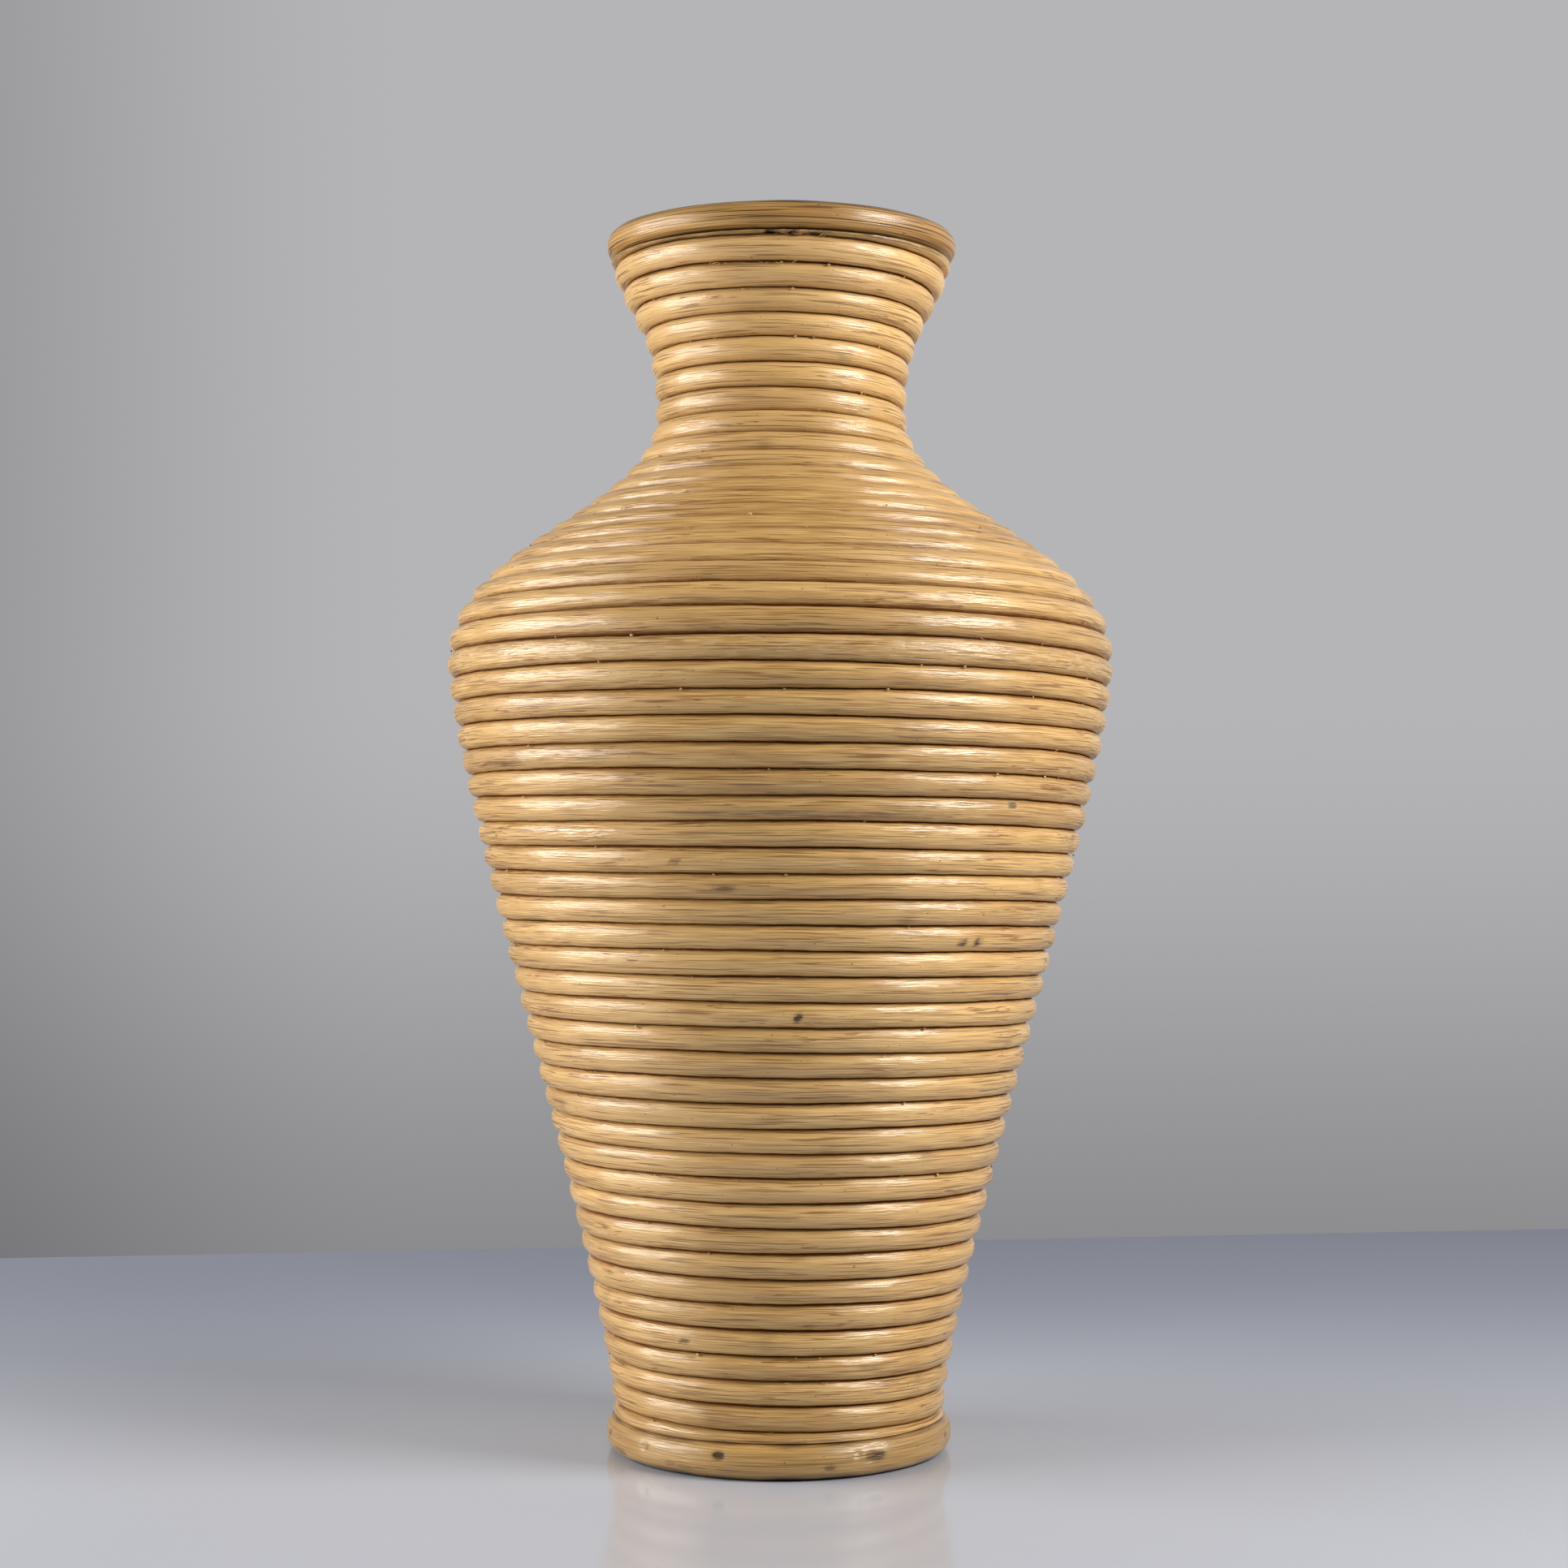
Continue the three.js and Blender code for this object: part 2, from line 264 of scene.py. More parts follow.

# %% [markdown]
# ## A rod
#
# A rod is a long flat grid, rolled up and bent along its path. A curve with a round bevel could make it
# too, but it could not be cut to a slant, pressed flat against the rim or made a little uneven. So the grid
# comes from a plain primitive, its points are moved in one go, and edit mode sews the long seam and closes
# the ends. The seam lies at the underside, where the next course hides it.
#
# Each point also keeps where it lies in the straight rod, before bending: how far along, how far out and
# how far up. The finish follows the fibres with that, round every turn of the vase. Each point keeps its
# wear as well: its stains together with any painted shade, how scarred, how wrinkled and how bleached it is.

# %% Roll a grid into a rod

# Points closer than this, in metres, become one. Edges above this angle stay sharp, as at a cut end.
MERGE_DISTANCE = 1e-6
CAP_ANGLE = math.radians(50)


def keep_values(rod, name, kind, field, values):
    """Stores values for each point under a name that the finishes read."""
    attribute = rod.data.attributes.new(name, kind, "POINT")
    attribute.data.foreach_set(field, np.ascontiguousarray(values, np.float32).ravel())


def sew_and_close(rod):
    """Joins the long edges of a rolled grid, closes its open ends and turns its faces outwards."""
    bpy.ops.object.mode_set(mode="EDIT")
    bpy.ops.mesh.select_mode(type="VERT")
    bpy.ops.mesh.select_all(action="SELECT")
    bpy.ops.mesh.remove_doubles(threshold=MERGE_DISTANCE)
    bpy.ops.mesh.select_all(action="DESELECT")
    bpy.ops.mesh.select_non_manifold(
        use_wire=False, use_boundary=True, use_multi_face=False, use_non_contiguous=False, use_verts=False
    )
    bpy.ops.mesh.fill_holes(sides=0)
    bpy.ops.mesh.select_all(action="SELECT")
    bpy.ops.mesh.normals_make_consistent(inside=False)
    bpy.ops.object.mode_set(mode="OBJECT")
    bpy.ops.object.shade_smooth_by_angle(angle=CAP_ANGLE)


def rolled_rod(name, rings, sides, place):
    """A rod from a grid. place(along, around) gives each point's place, grain and wear."""
    bpy.ops.object.select_all(action="DESELECT")
    bpy.ops.mesh.primitive_grid_add(x_subdivisions=rings, y_subdivisions=sides, size=1)
    rod = bpy.context.object
    rod.name = rod.data.name = name
    flat = np.empty(len(rod.data.vertices) * 3, np.float32)
    rod.data.vertices.foreach_get("co", flat)
    along, around = flat.reshape(-1, 3)[:, :2].T + 0.5
    points, grain, wear = place(along.astype(float), around.astype(float))
    rod.data.vertices.foreach_set("co", (points * MM).astype(np.float32).ravel())
    keep_values(rod, "grain", "FLOAT_VECTOR", "vector", grain * MM)
    for kind, values in wear.items():
        keep_values(rod, kind, "FLOAT", "value", values)
    sew_and_close(rod)
    return rod


def stand(name, node, piece, material):
    """Lets a piece stand for its node, on the vase's one body, with its finish."""
    piece.name = piece.data.name = name
    piece.data.materials.clear()
    piece.data.materials.append(material)
    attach(piece, "root")
    if node:
        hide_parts(node)


def put(name, data):
    """A new object in the scene."""
    thing = bpy.data.objects.new(name, data)
    bpy.context.scene.collection.objects.link(thing)
    return thing


def on_vase(turns, section):
    """Points in space from a turn round the vase, and a radius and height."""
    angle = TURN * turns
    radius, height = section[..., 0], section[..., 1]
    return np.stack([radius * np.sin(angle), -radius * np.cos(angle), height], axis=-1)


# %% [markdown]
# ## Finishes
#
# Peeled cane, or rattan, is a bundle of long fibres without bark. Under a satin varnish it shows fine pale
# and dark streaks along its length, short dark dashes where a vessel was cut open, a few pinholes, and dirt
# with pooled varnish in the seams. The finish also paints shade into the seams and towards the edges of each
# course. A picture could be wrapped round the rods, but noise stretched along the fibres needs no picture
# and never repeats.

# %% A node helper and colours


def linear(hex_colour):
    """An sRGB hex colour as linear red, green, blue and 1."""
    parts = [int(hex_colour[k : k + 2], 16) / 255 for k in (1, 3, 5)]
    return [p / 12.92 if p <= 0.04045 else ((p + 0.055) / 1.055) ** 2.4 for p in parts] + [1]


def add(tree, kind, inputs=(), **settings):
    """Adds a node with its settings. An input is a value, or another node's output to link."""
    node = tree.nodes.new(kind)
    for name, value in settings.items():
        setattr(node, name, value)
    for socket, value in dict(inputs).items():
        if isinstance(value, bpy.types.NodeSocket):
            tree.links.new(value, node.inputs[socket])
        else:
            node.inputs[socket].default_value = value
    return node


# Sockets of a Mix node that mixes colours. A Map Range node takes a value at 0, the range that it comes
# from at 1 and 2, and the range that it goes to at 3 and 4.
FACTOR, COLOUR_A, COLOUR_B, MIXED = 0, 6, 7, 2


def new_material(name):
    """An empty material, its node tree and its surface shader."""
    material = bpy.data.materials.new(name)
    material.use_nodes = True
    tree = material.node_tree
    return material, tree, tree.nodes["Principled BSDF"]


def two_tone(tree, surface, share, light, dark):
    """Colours a surface between two hex colours, by a share of the second."""
    colour = add(tree, "ShaderNodeMix", {
        FACTOR: share, COLOUR_A: linear(light), COLOUR_B: linear(dark),
    }, data_type="RGBA").outputs[MIXED]
    tree.links.new(colour, surface.inputs["Base Color"])


print("peeled cane is about", [round(c, 3) for c in linear("#c39c64")[:3]], "in linear light")

# %% [markdown]
# ## Rattan
#
# One recipe serves the cane and both poles, because all three are rattan. Noise in the straight rod's own
# millimetres is stretched along the rod, and each length and width makes one feature. Layers of colour go
# on over each other like stain and dirt, and the same noise raises the fibres a little under the varnish.
#
# A cut vessel is 0.2 to 0.4 mm wide and a fibre finer still. Fibres, hairlines and vessels are drawn about
# 0.5 mm wide, as coarse as they need to be to show.

# %% Peeled and varnished rattan
VARNISH_IOR = 1.5
VARNISH_ROUGHNESS = 0.17

# How much smoother and rougher than its mean the surface gets between one bundle of fibres and the next
SMOOTHER, ROUGHER = 0.08, 0.06

# How far the edge of the dirt and painted shade in a seam strays, and over what width it fades, in mm
DIRT_AND_SHADE_STRAY, DIRT_AND_SHADE_SOFTNESS = 0.9, 0.35

# Noise stretched along the fibres: how long and how wide a cell is, in mm, and how much detail it has
FIBRE_PATTERNS = {
    "fibres": (22, 0.52, 2),
    "hairlines": (30, 0.55, 1),
    "bundles": (60, 1.5, 2),
    "lengths": (260, 30, 1),
    "vessels": (9, 0.55, 1),
    "patches": (45, 5, 2),
    "pores": (1.7, 1.1, 1),
    "blots": (24, 4, 3),
    "flakes": (7, 0.8, 3),
    "ripples": (13, 3.2, 2),
    "wrinkles": (8, 1.6, 2),
    "edges": (5, 1.2, 2),
    "calm": (50, 4, 2),
}


def rattan(name, pale, deep, streak, seam, half_height, lengthen, streaking, roughness, coat):
    """Rattan with its fibres along the rod. Colours are hex, from the palest fibre to the dirt and painted
    shade in a seam.
    """
    material, tree, surface = new_material(name)
    pale, deep, streak, seam = (linear(colour) for colour in (pale, deep, streak, seam))
    # The dark stain colour also paints the shade under the rim and in the chipped gaps
    flake, stain_and_shade_colour, bleach = linear("#e6d2ac"), linear("#3d2109"), linear("#f1ca8a")
    middle = [(a + b) / 2 for a, b in zip(pale, deep)]
    grain = add(tree, "ShaderNodeAttribute", attribute_name="grain").outputs["Vector"]
    stains_and_shade, scarred, wrinkled, bleached = (
        add(tree, "ShaderNodeAttribute", attribute_name=kind).outputs["Fac"]
        for kind in ("stains_and_shade", "scarred", "wrinkled", "bleached")
    )

    pattern = {}
    for place, (kind, (along, across, detail)) in enumerate(FIBRE_PATTERNS.items()):
        stretched = add(tree, "ShaderNodeMapping", {
            "Vector": grain,
            "Location": (3 * place, 5 * place, 7 * place),
            "Scale": (1 / (along * lengthen * MM), 1 / (across * MM), 1 / (across * MM)),
        })
        pattern[kind] = add(tree, "ShaderNodeTexNoise", {
            "Vector": stretched.outputs[0], "Scale": 1, "Detail": detail,
        }).outputs[0]

    # Dark dashes only show in patches, and dirt with painted shade lies deepest in the seams, with a ragged
    # edge
    dashed = add(tree, "ShaderNodeMapRange", {0: pattern["patches"], 1: 0.5, 2: 0.62})
    dashes = add(tree, "ShaderNodeMath", {0: pattern["vessels"], 1: dashed.outputs[0]}, operation="MULTIPLY")
    up = add(tree, "ShaderNodeSeparateXYZ", {0: grain}).outputs["Z"]
    height = add(tree, "ShaderNodeMath", {0: up}, operation="ABSOLUTE").outputs[0]
    ragged = add(tree, "ShaderNodeMath", {
        0: pattern["edges"], 1: DIRT_AND_SHADE_STRAY * MM, 2: height,
    }, operation="MULTIPLY_ADD").outputs[0]
    flakes = add(tree, "ShaderNodeMapRange", {0: pattern["flakes"], 1: 0.5, 2: 0.6}).outputs[0]
    flaked = add(tree, "ShaderNodeMath", {0: scarred, 1: flakes}, operation="MULTIPLY").outputs[0]
    breaks = add(tree, "ShaderNodeMapRange", {
        0: pattern["flakes"], 1: 0.38, 2: 0.55, 3: 0.4, 4: 1,
    }).outputs[0]
    broken_stains_and_shade = add(tree, "ShaderNodeMath", {0: stains_and_shade, 1: breaks}, operation="MULTIPLY").outputs[0]

    # Layers of colour: where each starts and is full, how strong it is, its colour and how it is mixed in
    layers = [
        (pattern["fibres"], 0.36, 0.64, 1, deep, "MIX"),
        (pattern["bundles"], 0.44, 0.66, 0.4, deep, "MIX"),
        (pattern["calm"], 0.4, 0.65, 0.55, middle, "MIX"),
        (bleached, 0, 1, 0.75, bleach, "MIX"),
        (pattern["hairlines"], 0.58, 0.65, streaking, streak, "MIX"),
        (pattern["lengths"], 0.4, 0.62, 0.2, streak, "MULTIPLY"),
        (pattern["blots"], 0.6, 0.74, 0.15, streak, "MIX"),
        (dashes.outputs[0], 0.57, 0.65, 0.75, seam, "MIX"),
        (pattern["pores"], 0.76, 0.79, 0.85, seam, "MIX"),
        # Painted shade: each course or pole darkens towards its upper and lower edge
        (height, 0.7 * half_height * MM, half_height * MM, 0.35, streak, "MIX"),
        # Dirt and painted shade at the seam, with a ragged edge
        (ragged, half_height * MM, (half_height + DIRT_AND_SHADE_SOFTNESS) * MM, 0.8, seam, "MIX"),
        # Stains, and the painted shade under the rim and in the chipped gaps, broken up a little
        (broken_stains_and_shade, 0, 0.8, 0.95, stain_and_shade_colour, "MIX"),
        (flaked, 0, 1, 1, flake, "MIX"),
    ]
    wood = pale
    for share, low, high, strength, colour, blend in layers:
        factor = add(tree, "ShaderNodeMapRange", {0: share, 1: low, 2: high, 4: strength}).outputs[0]
        wood = add(tree, "ShaderNodeMix", {
            FACTOR: factor, COLOUR_A: wood, COLOUR_B: colour,
        }, data_type="RGBA", blend_type=blend).outputs[MIXED]
    tree.links.new(wood, surface.inputs["Base Color"])

    gloss = add(tree, "ShaderNodeMapRange", {
        0: pattern["bundles"], 1: 0.35, 2: 0.65, 3: roughness - SMOOTHER, 4: roughness + ROUGHER,
    })
    tree.links.new(gloss.outputs[0], surface.inputs["Roughness"])
    surface.inputs["IOR"].default_value = VARNISH_IOR
    surface.inputs["Coat Weight"].default_value = coat
    surface.inputs["Coat Roughness"].default_value = VARNISH_ROUGHNESS

    # Relief in mm: ridges of fibres and vessels, ripples, then wrinkles and flaked varnish
    relief = None
    rough = add(tree, "ShaderNodeMath", {
        0: pattern["wrinkles"], 1: wrinkled,
    }, operation="MULTIPLY").outputs[0]
    ridges = [(pattern["fibres"], 0.16), (pattern["vessels"], 0.22), (pattern["ripples"], 0.22)]
    for share, depth in (*ridges, (rough, 0.8), (flaked, 0.2)):
        bump = add(tree, "ShaderNodeBump", {"Height": share, "Strength": 1, "Distance": depth * MM})
        if relief:
            tree.links.new(relief, bump.inputs["Normal"])
        relief = bump.outputs[0]
    tree.links.new(relief, surface.inputs["Normal"])
    tree.links.new(relief, surface.inputs["Coat Normal"])
    return material


# %% The three kinds of rattan

# Peeled cane under satin varnish: honey yellow, with fine streaks and long soft glints
peeled_rattan = rattan(
    "peeled varnished rattan", "#e1bc7d", "#a97d40", "#70451a", "#7d461a", COURSE / 2, 1, 0.65, 0.38, 0.35
)

# A pole that hands have darkened: brown, with long blackish lines in its grain
rim_rattan = rattan(
    "dark streaked rattan pole", "#e0b56c", "#93662f", "#4d2f12", "#4d2e11",
    RIM_POLE / 2, 2.5, 0.95, 0.38, 0.3,
)

# A pole near the floor: duller and browner than the cane, with few streaks
foot_rattan = rattan(
    "stained rattan pole", "#cca768", "#a17a43", "#65431f", "#4a2c14", FOOT_POLE / 2, 1.5, 0.3, 0.4, 0.4
)
print("finishes:", ", ".join(finish.name for finish in (peeled_rattan, rim_rattan, foot_rattan)))

# %% [markdown]
# ## Wear
#
# The real vase has been handled: there are oval stains, small holes, a scar of a node at the neck, a patch
# with wrinkled fibres and one course at the belly whose varnish has gone white in flakes. The cane is also
# bleached, most of all under the rim. Marks could be painted by hand. A short list of them is easier to
# move and to mend: each is an angle from the front, a height, half its length, half its width and how
# strong it is. A strength over 1 keeps a small hole dark right to its edge.

# %% Stains and scars
STAINS = [
    (-57, 283, 17, 1.3, 0.5),
    (-62, 249, 12, 1.2, 0.4),
    (-58, 221, 12, 1.2, 0.5),
    (-10, 234, 5, 0.9, 0.9),
    (4, 185, 1.4, 1.6, 2.0),
    (38, 213, 1.6, 1.3, 1.6),
    (42, 213, 2.2, 1.2, 1.4),
    (45, 267, 1.6, 1.3, 1.6),
    (-19, 245, 2.0, 1.0, 1.0),
    (-5, 263, 30, 1.0, 0.5),
    (15, 262, 34, 0.9, 0.5),
    (-30, 55, 1.6, 1.3, 1.2),
    (30, 44, 7, 1.6, 0.4),
]
SCARS = [
    (40, 428, 5, 2.0, 0.8),
    (27, 438, 8, 1.4, 0.6),
    (45, 268, 3, 1.2, 0.8),
    (10, 244, 4, 1.4, 0.5),
    (-20, 316, 24, 1.6, 0.4),
    (55, 240, 6, 2.4, 0.4),
    (60, 222, 7, 2.4, 0.4),
]
WRINKLES = [
    (-36, 255, 22, 3.6, 1.0),
    (-62, 300, 16, 3.4, 0.7),
    (40, 428, 6, 3.0, 0.8),
    (20, 160, 20, 3.0, 0.4),
]
# How bleached the cane is after so many turns: most under the rim, least on the shoulder
BLEACHED = [
    (-2, 1), (2, 0.85), (5, 0.5), (9, 0.55), (11, 0.15), (14, 0),
    (16, 0.4), (20, 0.15), (27, 0.2), (35, 0.45), (43, 0.35), (48, 0.1),
]

# The flaked course: its height, how many turns the flakes reach to each side of the front, how steeply they
# end there, and how strong they are
FLAKED_HEIGHT = 324
FLAKED_REACH = 0.22
FLAKED_FADE = 30
FLAKED_STRENGTH = 0.25

flaked_course = float(np.abs(wall_point(course_middle(np.arange(50)))[:, 1] - FLAKED_HEIGHT).argmin())


def share_of(places, points):
    """How much each point, in mm, lies within any of the places. They are even inside, with a soft edge."""
    angle = np.degrees(np.arctan2(points[:, 0], -points[:, 1]))
    total = np.zeros(len(points))
    for where, height, half_length, half_width, strength in places:
        aside = np.radians(angle - where) * np.hypot(points[:, 0], points[:, 1])
        far = np.hypot(aside / half_length, (points[:, 2] - height) / half_width)
        total = np.maximum(total, strength * np.exp(-(far**4)))
    return total


print("the flaked course is number", flaked_course)

# %% [markdown]
# ## The wound cane
#
# The section is a circle that the neighbours have pressed a little square, as high as the space between its
# two seams. At the very top and bottom the rod is whittled thin where it meets the poles: it is squeezed
# into the space that they leave, and points past a pole are pressed back against it. Here and there a rod
# swells at a node, where a leaf once grew. Near the front, the thin start of the cane has chipped away in
# three places under the rim and leaves a gap, darkened with painted shade. Painted shade also darkens the
# cane just under the rim.
#
# Each length could be modelled straight and bent with a curve. Winding them all with one formula keeps
# every seam closed, since a course and the one below it follow the same seam.

# %% Sizes for the winding

# Corners round the cane, and mm from one ring of points to the next
CANE_SIDES = 24
RING_SPACING = 2.1

# How square the section is pressed, its thickness across the wall, and the gap at a joint
SECTION_POWER = 2.35
CANE_OUT = 9.65
SPLICE_GAP = 0.12

# Nodes: how far apart they are and by how much that varies, how far they swell, over what length, and how
# stained they are
NODE_SPACING = 310
NODE_STRAY = 70
NODE_SWELL = 0.16
NODE_LENGTH = 8
NODE_STAIN = 0.25

# Shallow waves: their length along the cane, their height and how many lie round it. All are sunk by
# WAVE_SINK, and nothing stands out by more than MOST_OUT.
WAVES = [(61, 0.05, 1), (27, 0.04, 2)]
WAVE_SINK = 0.05
MOST_OUT = 0.1

# The whittled ends: the length over which the cane slips in beside a pole, and how much of what would stand
# in the pole is squeezed back
LEAD = 12
SQUEEZE = 0.75

# Painted shade under the rim: how far down it lies and over what distance it fades, in mm, how many turns
# before the front it begins to fade, and how dark it is
RIM_SHADE_REACH = 2.5
RIM_SHADE_FADE = 2
RIM_SHADE_TURNS = 0.25
RIM_SHADE_STRENGTH = 0.5

# Chips under the rim: degrees from the front, half width in degrees, and depth as a share of CHIP_DEPTH. The
# same share sets how dark the painted shade in the chip is.
CHIPS = [(-3.5, 2.8, 1.0), (3.4, 2.2, 0.8), (11.0, 3.2, 0.7)]
CHIP_DEPTH = 3

# The grains of two lengths lie this far apart in the noise, so that no two look alike
GRAIN_APART = 3000
print("rings of", CANE_SIDES, "points every", RING_SPACING, "mm of cane")

# %% Wind the lengths of cane


def rounded(angle, power):
    """Across and down shares of a section a little fuller than a circle. Angle 0 is straight down."""
    down = np.cos(angle)
    out = np.sin(angle)
    return np.sign(out) * np.abs(out) ** (2 / power), np.sign(down) * np.abs(down) ** (2 / power)


def edges(turns):
    """The distances down the wall line of a course's upper and lower edge, before any pole cuts it off."""
    lead = LEAD / (TURN * RIM_RADIUS)
    above, below = seam_below(turns - 1), seam_below(turns)
    under = np.clip((turns - 1 - first_turn) / lead, 0, 1)
    over = np.clip((last_turn - 1 - turns) / lead, 0, 1)
    above = under * above + (1 - under) * np.minimum(above, UNDER_RIM)
    below = over * below + (1 - over) * np.maximum(below, OVER_FOOT)
    above += SQUEEZE * np.clip(UNDER_RIM - above, 0, None)
    below -= SQUEEZE * np.clip(below - OVER_FOOT, 0, None)
    return above, below


def swelling(length, angle, phases):
    """How swollen the rod is at its nodes, from 0 to 1 and more at one side than at the other."""
    total = np.zeros_like(length)
    for place, side in phases:
        near = np.exp(-(((length - place) / NODE_LENGTH) ** 2))
        total += near * (0.6 + 0.4 * np.cos(angle - side))
    return total


def wound_cane(number, start, end):
    """One length of cane, between two cuts."""
    draw = np.random.default_rng(100 + number)
    full_length = cane_length(end) - cane_length(start)
    nodes = [
        (place + draw.uniform(-NODE_STRAY, NODE_STRAY), draw.uniform(0, TURN))
        for place in np.arange(NODE_SPACING / 2, full_length, NODE_SPACING)
    ]
    wave_phases = draw.uniform(0, TURN, (len(WAVES), 2))

    def slant(turn, out, side):
        """The turn at which a slanting cut passes this far out."""
        if turn in (first_turn, last_turn):
            return np.full_like(out, turn)
        girth = TURN * wall_point(course_middle(turn))[0]
        return turn + (out * CANE_SCARF / 2 + side * SPLICE_GAP) / girth

    def place(along, around):
        """Where the points of this length lie, their grain and their wear."""
        angle = TURN * around
        out, down = rounded(angle, SECTION_POWER)
        lengths = cane_length(start) - CANE_SCARF + along * (full_length + 2 * CANE_SCARF)
        turns = np.interp(lengths, length_table, turn_table)
        turns = np.clip(turns, slant(start, out, 1), slant(end, out, -1))
        length = cane_length(turns) - cane_length(start)
        above, below = edges(turns)
        middle, half = (above + below) / 2, (below - above) / 2
        swell = NODE_SWELL * swelling(length, angle, nodes)
        uneven = sum(
            rise * np.sin(TURN * length / wave + along_it + 2 * np.sin(count * angle + round_it))
            for (wave, rise, count), (along_it, round_it) in zip(WAVES, wave_phases)
        )
        across = out * (CANE_OUT / 2 + np.minimum(swell + uneven - WAVE_SINK, MOST_OUT))
        broken = sum(
            strength * np.exp(-(((360 * (turns + 1) - where) / half_width) ** 6))
            for where, half_width, strength in CHIPS
        )
        across -= CHIP_DEPTH * broken * (out > 0)
        along_wall = np.clip(middle + down * half, UNDER_RIM, OVER_FOOT) - middle
        downward = wall_down(middle)
        outward = np.stack([-downward[:, 1], downward[:, 0]], axis=-1)
        section = wall_point(middle) + outward * across[:, None] + downward * along_wall[:, None]
        grain = np.stack([length + GRAIN_APART * number, across, -along_wall], axis=-1)
        points = on_vase(turns, section)
        # Painted shade just under the rim, on the thin start of the cane before the front
        rim_shade = np.clip((UNDER_RIM + RIM_SHADE_REACH - middle - along_wall) / RIM_SHADE_FADE, 0, 1)
        rim_shade = rim_shade * np.clip(-turns / RIM_SHADE_TURNS, 0, 1)
        node_stain = NODE_STAIN * swelling(length, angle, nodes) ** 6
        # Real stains and node stains darken the cane together with the painted shade under the rim and in
        # the chipped gaps
        stains_and_shade = np.max([share_of(STAINS, points), node_stain, RIM_SHADE_STRENGTH * rim_shade, broken], axis=0)
        flaked = np.clip((FLAKED_REACH - np.abs(turns - flaked_course)) * FLAKED_FADE, 0, 1) * (out > 0)
        scarred = np.maximum(share_of(SCARS, points), FLAKED_STRENGTH * flaked)
        wrinkled = np.maximum(share_of(WRINKLES, points), FLAKED_STRENGTH * flaked)
        bleached = np.interp(turns, *zip(*BLEACHED)) * np.ones_like(out)
        wear = {"stains_and_shade": stains_and_shade, "scarred": scarred, "wrinkled": wrinkled, "bleached": bleached}
        return points, grain, wear

    rings = round(full_length / RING_SPACING)
    return rolled_rod(f"wound_cane_{number:02d}", rings, CANE_SIDES, place)


for place_from_top, (start, end) in enumerate(zip(cuts, cuts[1:])):
    number = len(cane_nodes) - place_from_top
    node = cane_nodes[number - 1]
    cane = wound_cane(number, start, end)
    stand(cane.name, node, cane, peeled_rattan)
    low, high = (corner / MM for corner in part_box(node))
    own = np.array([v.co for v in cane.data.vertices]) / MM
    print(f"{cane.name}: {own.min(0).round(1)} to {own.max(0).round(1)}, drawn {low[:]} to {high[:]}")

# %% [markdown]
# ## The rim and the foot
#
# Both are thicker poles bent into a ring and closed with a long slanting joint at the back. The rim is dark
# and worn on top, where hands take hold. The foot is pressed flat underneath, darker along its lower edge,
# and has a small oval dent over each nail. A torus has no joint and nothing to lay the grain along, so both
# are rolled up from a grid like the cane.

# %% Bend the two poles

# The slanting joint: its length in mm, and where it lies in degrees from the front
POLE_SCARF = 44
RIM_SCARF_SIDE = 202.5
FOOT_SCARF_SIDE = 158

# Rings of points round the vase, corners round the pole, and how full its section is
RIM_RINGS, RIM_SIDES, RIM_FULLNESS = 420, 32, 2.3
FOOT_RINGS, FOOT_SIDES, FOOT_FULLNESS = 640, 60, 2.5

# How far the skin of a pole lies inside the drawn one before it is made uneven, in mm
POLE_EASE = 0.12

# The grain of each pole starts at its own place in the noise
POLE_GRAIN = 1000


def bent_pole(name, pole, radius, height, scarf_side, rings, sides, fullness, shape):
    """A ring from one pole. shape(turns, out, up) gives how far each point is pushed out, and its wear."""
    girth = TURN * radius
    start = scarf_side / 360

    def place(along, around):
        """Where the points of this pole lie, their grain and their wear."""
        out, down = rounded(TURN * around, fullness)
        up = -down
        reach = POLE_SCARF / girth
        slant = out * reach / 2
        gap = SPLICE_GAP / girth
        turns = start - reach + along * (1 + 2 * reach)
        turns = np.clip(turns, start + slant + gap, start + 1 + slant - gap)
        push, wear = shape(turns, out, up)
        across = out * (pole / 2 + push)
        upward = np.clip(up * (pole / 2 + push), -height, RIM_HEIGHT + RIM_POLE / 2 - height)
        section = np.stack([radius + across, height + upward], axis=-1)
        grain = np.stack([turns * girth + POLE_GRAIN * pole, across, upward], axis=-1)
        return on_vase(turns, section), grain, wear

    return rolled_rod(name, rings, sides, place)


def rim_shape(turns, out, up):
    """How far the rim's skin lies in or out, true where it meets the cane, and how worn it is on top."""
    # Low waves round the ring, which end where it meets the cane
    angle = TURN * turns
    push = -POLE_EASE + 0.06 * np.sin(5 * angle + 1) + 0.05 * np.sin(11 * angle + 3 * out)
    push = push * np.clip((up + 1) / 0.3, 0, 1)
    worn = np.clip((up - 0.5) / 0.4, 0, 1) * (0.7 + 0.2 * np.sin(3 * angle) + 0.1 * np.sin(17 * angle))
    return push, {"stains_and_shade": worn}


# Where the nails are, in degrees from the front
NAIL_ANGLES = [-76.5, -49.5, -22.5, 31.5, 76.5, 103.5, 130.5, 184.5, 211.5, 247.5]

